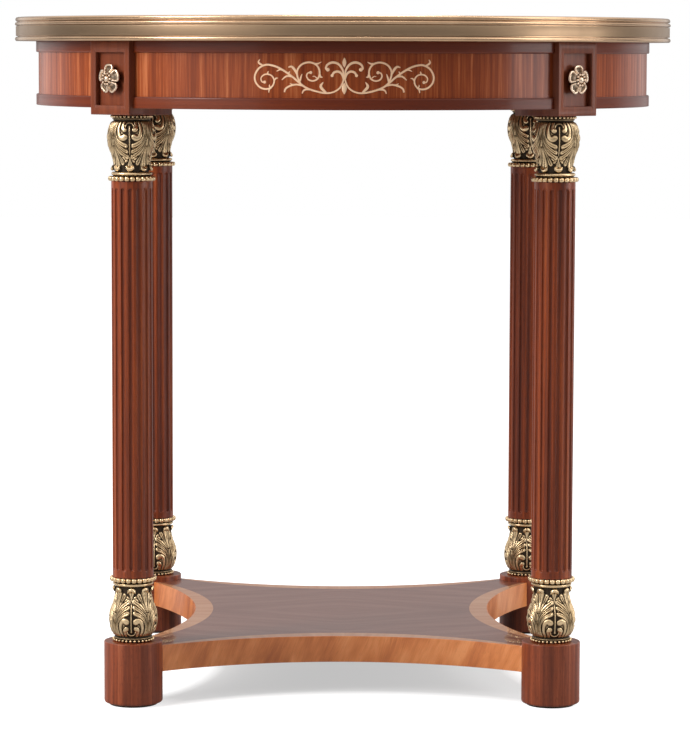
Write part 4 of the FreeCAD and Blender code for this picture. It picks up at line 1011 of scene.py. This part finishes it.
def makeInlay():
    # stems whose half width runs from start through middle to end as a parabola, and two buds on the axis
    shapes = []
    for spots, first, middle, last, ball in scrollStems:
        line = curveThrough(spots, 7 * len(spots))
        t = runLength(line) / runLength(line)[-1]
        half = first * (1 - t) * (1 - 2 * t) + 4 * middle * t * (1 - t) + last * t * (2 * t - 1)
        for mirror in (1, -1):
            run = line * [mirror, 1]
            shapes.append(ribbon(run, half))
            if ball:
                shapes.append(dot(run[-1], ball))
    t = np.linspace(0, 1, 14)
    for low, high, wide in inlay["buds"]:
        line = np.stack([0 * t, low + (high - low) * t], axis=1)
        shapes.append(ribbon(line, inlay["budEnd"] + wide * np.sin(t * math.pi) ** 0.9))
    addPiece("front_inlay", shapes, "inlay_brass", sharp=40)


makeInlay()
print("inlay ready")

# CAD pieces that stay
keptFinishes = {
    "coreBoard": ["top_core", "shelf_core"], "flameMahogany": ["top_quarter_veneers", "shelf_quarter_veneers"],
    "topCrossband": ["top_crossband"], "beech": ["top_fixing_blocks", "apron_dowels", "shelf_dowels"],
    "zincSteel": ["tie_rods", "tie_rod_nuts", "tie_rod_washers", "top_screws"], "feltPad": ["foot_pads"],
    **{camel(f"shelf_crossband_{side}"): [f"shelf_crossband_{side}"] for side in sides},
}
for finish, kept in keptFinishes.items():
    for slot in (slot for node in kept for slot in nodes[node].material_slots):
        slot.material = finishes[finish]

# floor, light and camera
white = (1.0, 1.0, 1.0, 1.0)
studio = {"ambient": (0.05, 0.42), "horizon": 0.27, "zenith": 1.12, "skyRise": (0.08, 0.55), "roomLean": 0.8,
          "roomBand": (-0.5, 0.6)}
# the shadow under the shelf is painted into the floor's glow: shift and edge place and soften it round the shelf's
# outline, and it fades to white between the end radii
floorLook = {"tone": 0.4, "glow": 0.52, "mirrored": 0.12, "rings": (9.0, 4.0, 2.0, 1.0, 0.5, 0.02), "steps": 64,
             "paintedShadowShift": (0.021, 0.0, 0.0), "paintedShadowEdge": (-0.018, 0.012), "paintedShadowEnd": (0.24, 0.33)}


def seenDirectly(add, rays):
    return maths(add, "MAXIMUM", rays["Is Camera Ray"], rays["Is Transmission Ray"])


def makeWorld():
    # white to the camera; metal and lacquer see a studio that brightens overhead; the room is darker in front
    scene.world = bpy.data.worlds.new("studio")
    add = emptied(scene.world)
    rays = add("LightPath").outputs
    _, back, up = parts(add, add("TexCoord").outputs["Generated"])
    mirrored = ranged(add, up, *studio["skyRise"], studio["horizon"], studio["zenith"])
    room = maths(add, "MULTIPLY_ADD", up, studio["roomLean"], back)
    ambient = ranged(add, room, *studio["roomBand"], *studio["ambient"])
    strength = add("Mix", {0: rays["Is Glossy Ray"], 2: ambient, 3: mirrored}).outputs[0]
    strength = add("Mix", {0: seenDirectly(add, rays), 2: strength, 3: 1.0}).outputs[0]
    sky = add("Background", {"Color": white, "Strength": strength})
    add("OutputWorld", {0: sky.outputs[0]})


def makeFloor():
    # wide disc whose own glow lifts it to white outside the shadow of the hollow-sided shelf. That shadow is painted:
    # the glow drops to grey inside the shelf's outline, moved a little sideways, and the matte part adds the lamps'
    # own shadows
    rings, steps, glow = floorLook["rings"], floorLook["steps"], floorLook["glow"]
    disc = patch(polar(np.array(rings), turns(steps), 0.0), loopU=True)
    middle = list(range(len(rings) - 1, steps * len(rings), len(rings)))
    mesh = bpy.data.meshes.new("floor")
    mesh.from_pydata(disc["points"].tolist(), [], disc["faces"][0].tolist() + [middle])
    material = bpy.data.materials.new("paleFloor")
    add = emptied(material)
    rays = add("LightPath").outputs
    place = objectPlace(add)
    quarter = vectors(add, "ABSOLUTE", vectors(add, "SUBTRACT", place, floorLook["paintedShadowShift"])[0])[0]
    reach = shelfCentre * mm
    hollows = [vectors(add, "DISTANCE", quarter, centre)["Value"]
               for centre in ((reach, 0.0, 0.0), (0.0, reach, 0.0))]
    inside = maths(add, "SUBTRACT", maths(add, "MINIMUM", *hollows), shelf["edgeRadius"] * mm)
    away = vectors(add, "LENGTH", place)["Value"]
    # painted shadow: the lowest glow lies inside the shelf's outline, and the glow is white away from the table
    glowWithPaintedShadow = maths(add, "MAXIMUM", ranged(add, inside, *floorLook["paintedShadowEdge"], 1.0, glow),
                    ranged(add, away, *floorLook["paintedShadowEnd"], glow, 1.0))
    seen = maths(add, "MULTIPLY_ADD", rays["Is Glossy Ray"], floorLook["mirrored"], seenDirectly(add, rays))
    shine = add("Emission", {"Color": white, "Strength": maths(add, "MULTIPLY", glowWithPaintedShadow, seen)})
    matte = add("BsdfDiffuse", {"Color": (*[floorLook["tone"]] * 3, 1.0)})
    both = add("AddShader", {0: shine.outputs[0], 1: matte.outputs[0]})
    add("OutputMaterial", {0: both.outputs[0]})
    mesh.materials.append(material)
    floor = linked("floor", mesh)


lampAim = Vector((0, 0, 0.35))
lamps = {  # place, watts, width, height, seen in gloss; all aimed at the middle of the table
    "keyLamp": ((-2.62, -1.0, 1.25), 55.0, 1.3, 1.3, False),
    "sideLamp": ((2.6, -0.3, 1.25), 29.0, 1.3, 1.3, False),
    "overLamp": ((0.2, 0.2, 3.2), 42.0, 1.1, 1.1, True),
    "highLeft": ((-2.45, -1.3, 2.5), 36.0, 1.1, 1.1, True),
    "highRight": ((2.5, -0.6, 2.3), 15.0, 1.8, 1.8, True),
    "leftGlint": ((-2.3, -1.6, 1.7), 15.5, 0.7, 0.7, True),
    "rightGlint": ((2.4, -1.3, 1.7), 2.5, 0.7, 0.7, True),
    "leftBack": ((-2.2, 2.4, 0.65), 5.0, 2.0, 1.3, True),
    "rightBack": ((2.2, 2.4, 0.65), 4.5, 2.0, 1.3, True),
    "leftCard": ((-2.3, -2.2, 0.7), 6.0, 2.0, 1.2, True),
    "rightCard": ((3.05, -0.7, 0.5), 13.0, 1.8, 0.6, True),
}


def makeLamps():
    for name, (place, watts, width, height, mirrored) in lamps.items():
        lamp = bpy.data.lights.new(name, "AREA")
        lamp.energy = watts
        lamp.shape = "RECTANGLE"
        lamp.size = width
        lamp.size_y = height
        holder = linked(name, lamp)
        holder.visible_glossy = mirrored
        holder.location = place
        holder.rotation_euler = (lampAim - Vector(place)).to_track_quat("-Z", "Y").to_euler()


view = {"place": (0.0, -3.31187, 0.63020), "focal": 160.62, "sensor": 36.0, "reach": 100.0, "pitch": 0.0964,
        "roll": 0.00284, "yaw": 0.00095, "tableTurn": 0.0049}


def makeCamera():
    # pinhole fitted to the rims, feet and columns; the table itself stands turned by a small angle
    turned = Matrix.Rotation
    axes = (turned(-view["yaw"], 4, "Z") @ turned(math.pi / 2 - view["pitch"], 4, "X")
            @ turned(view["roll"], 4, "Z"))
    camera = linked("camera", bpy.data.cameras.new("camera"))
    camera.matrix_world = turned(-view["tableTurn"], 4, "Z") @ Matrix.Translation(view["place"]) @ axes
    camera.data.lens = view["focal"]
    camera.data.sensor_width = view["sensor"]
    camera.data.clip_end = view["reach"]
    scene.camera = camera


makeWorld()
makeFloor()
makeLamps()
makeCamera()
scene.view_settings.view_transform = "Standard"
print("light and camera ready")
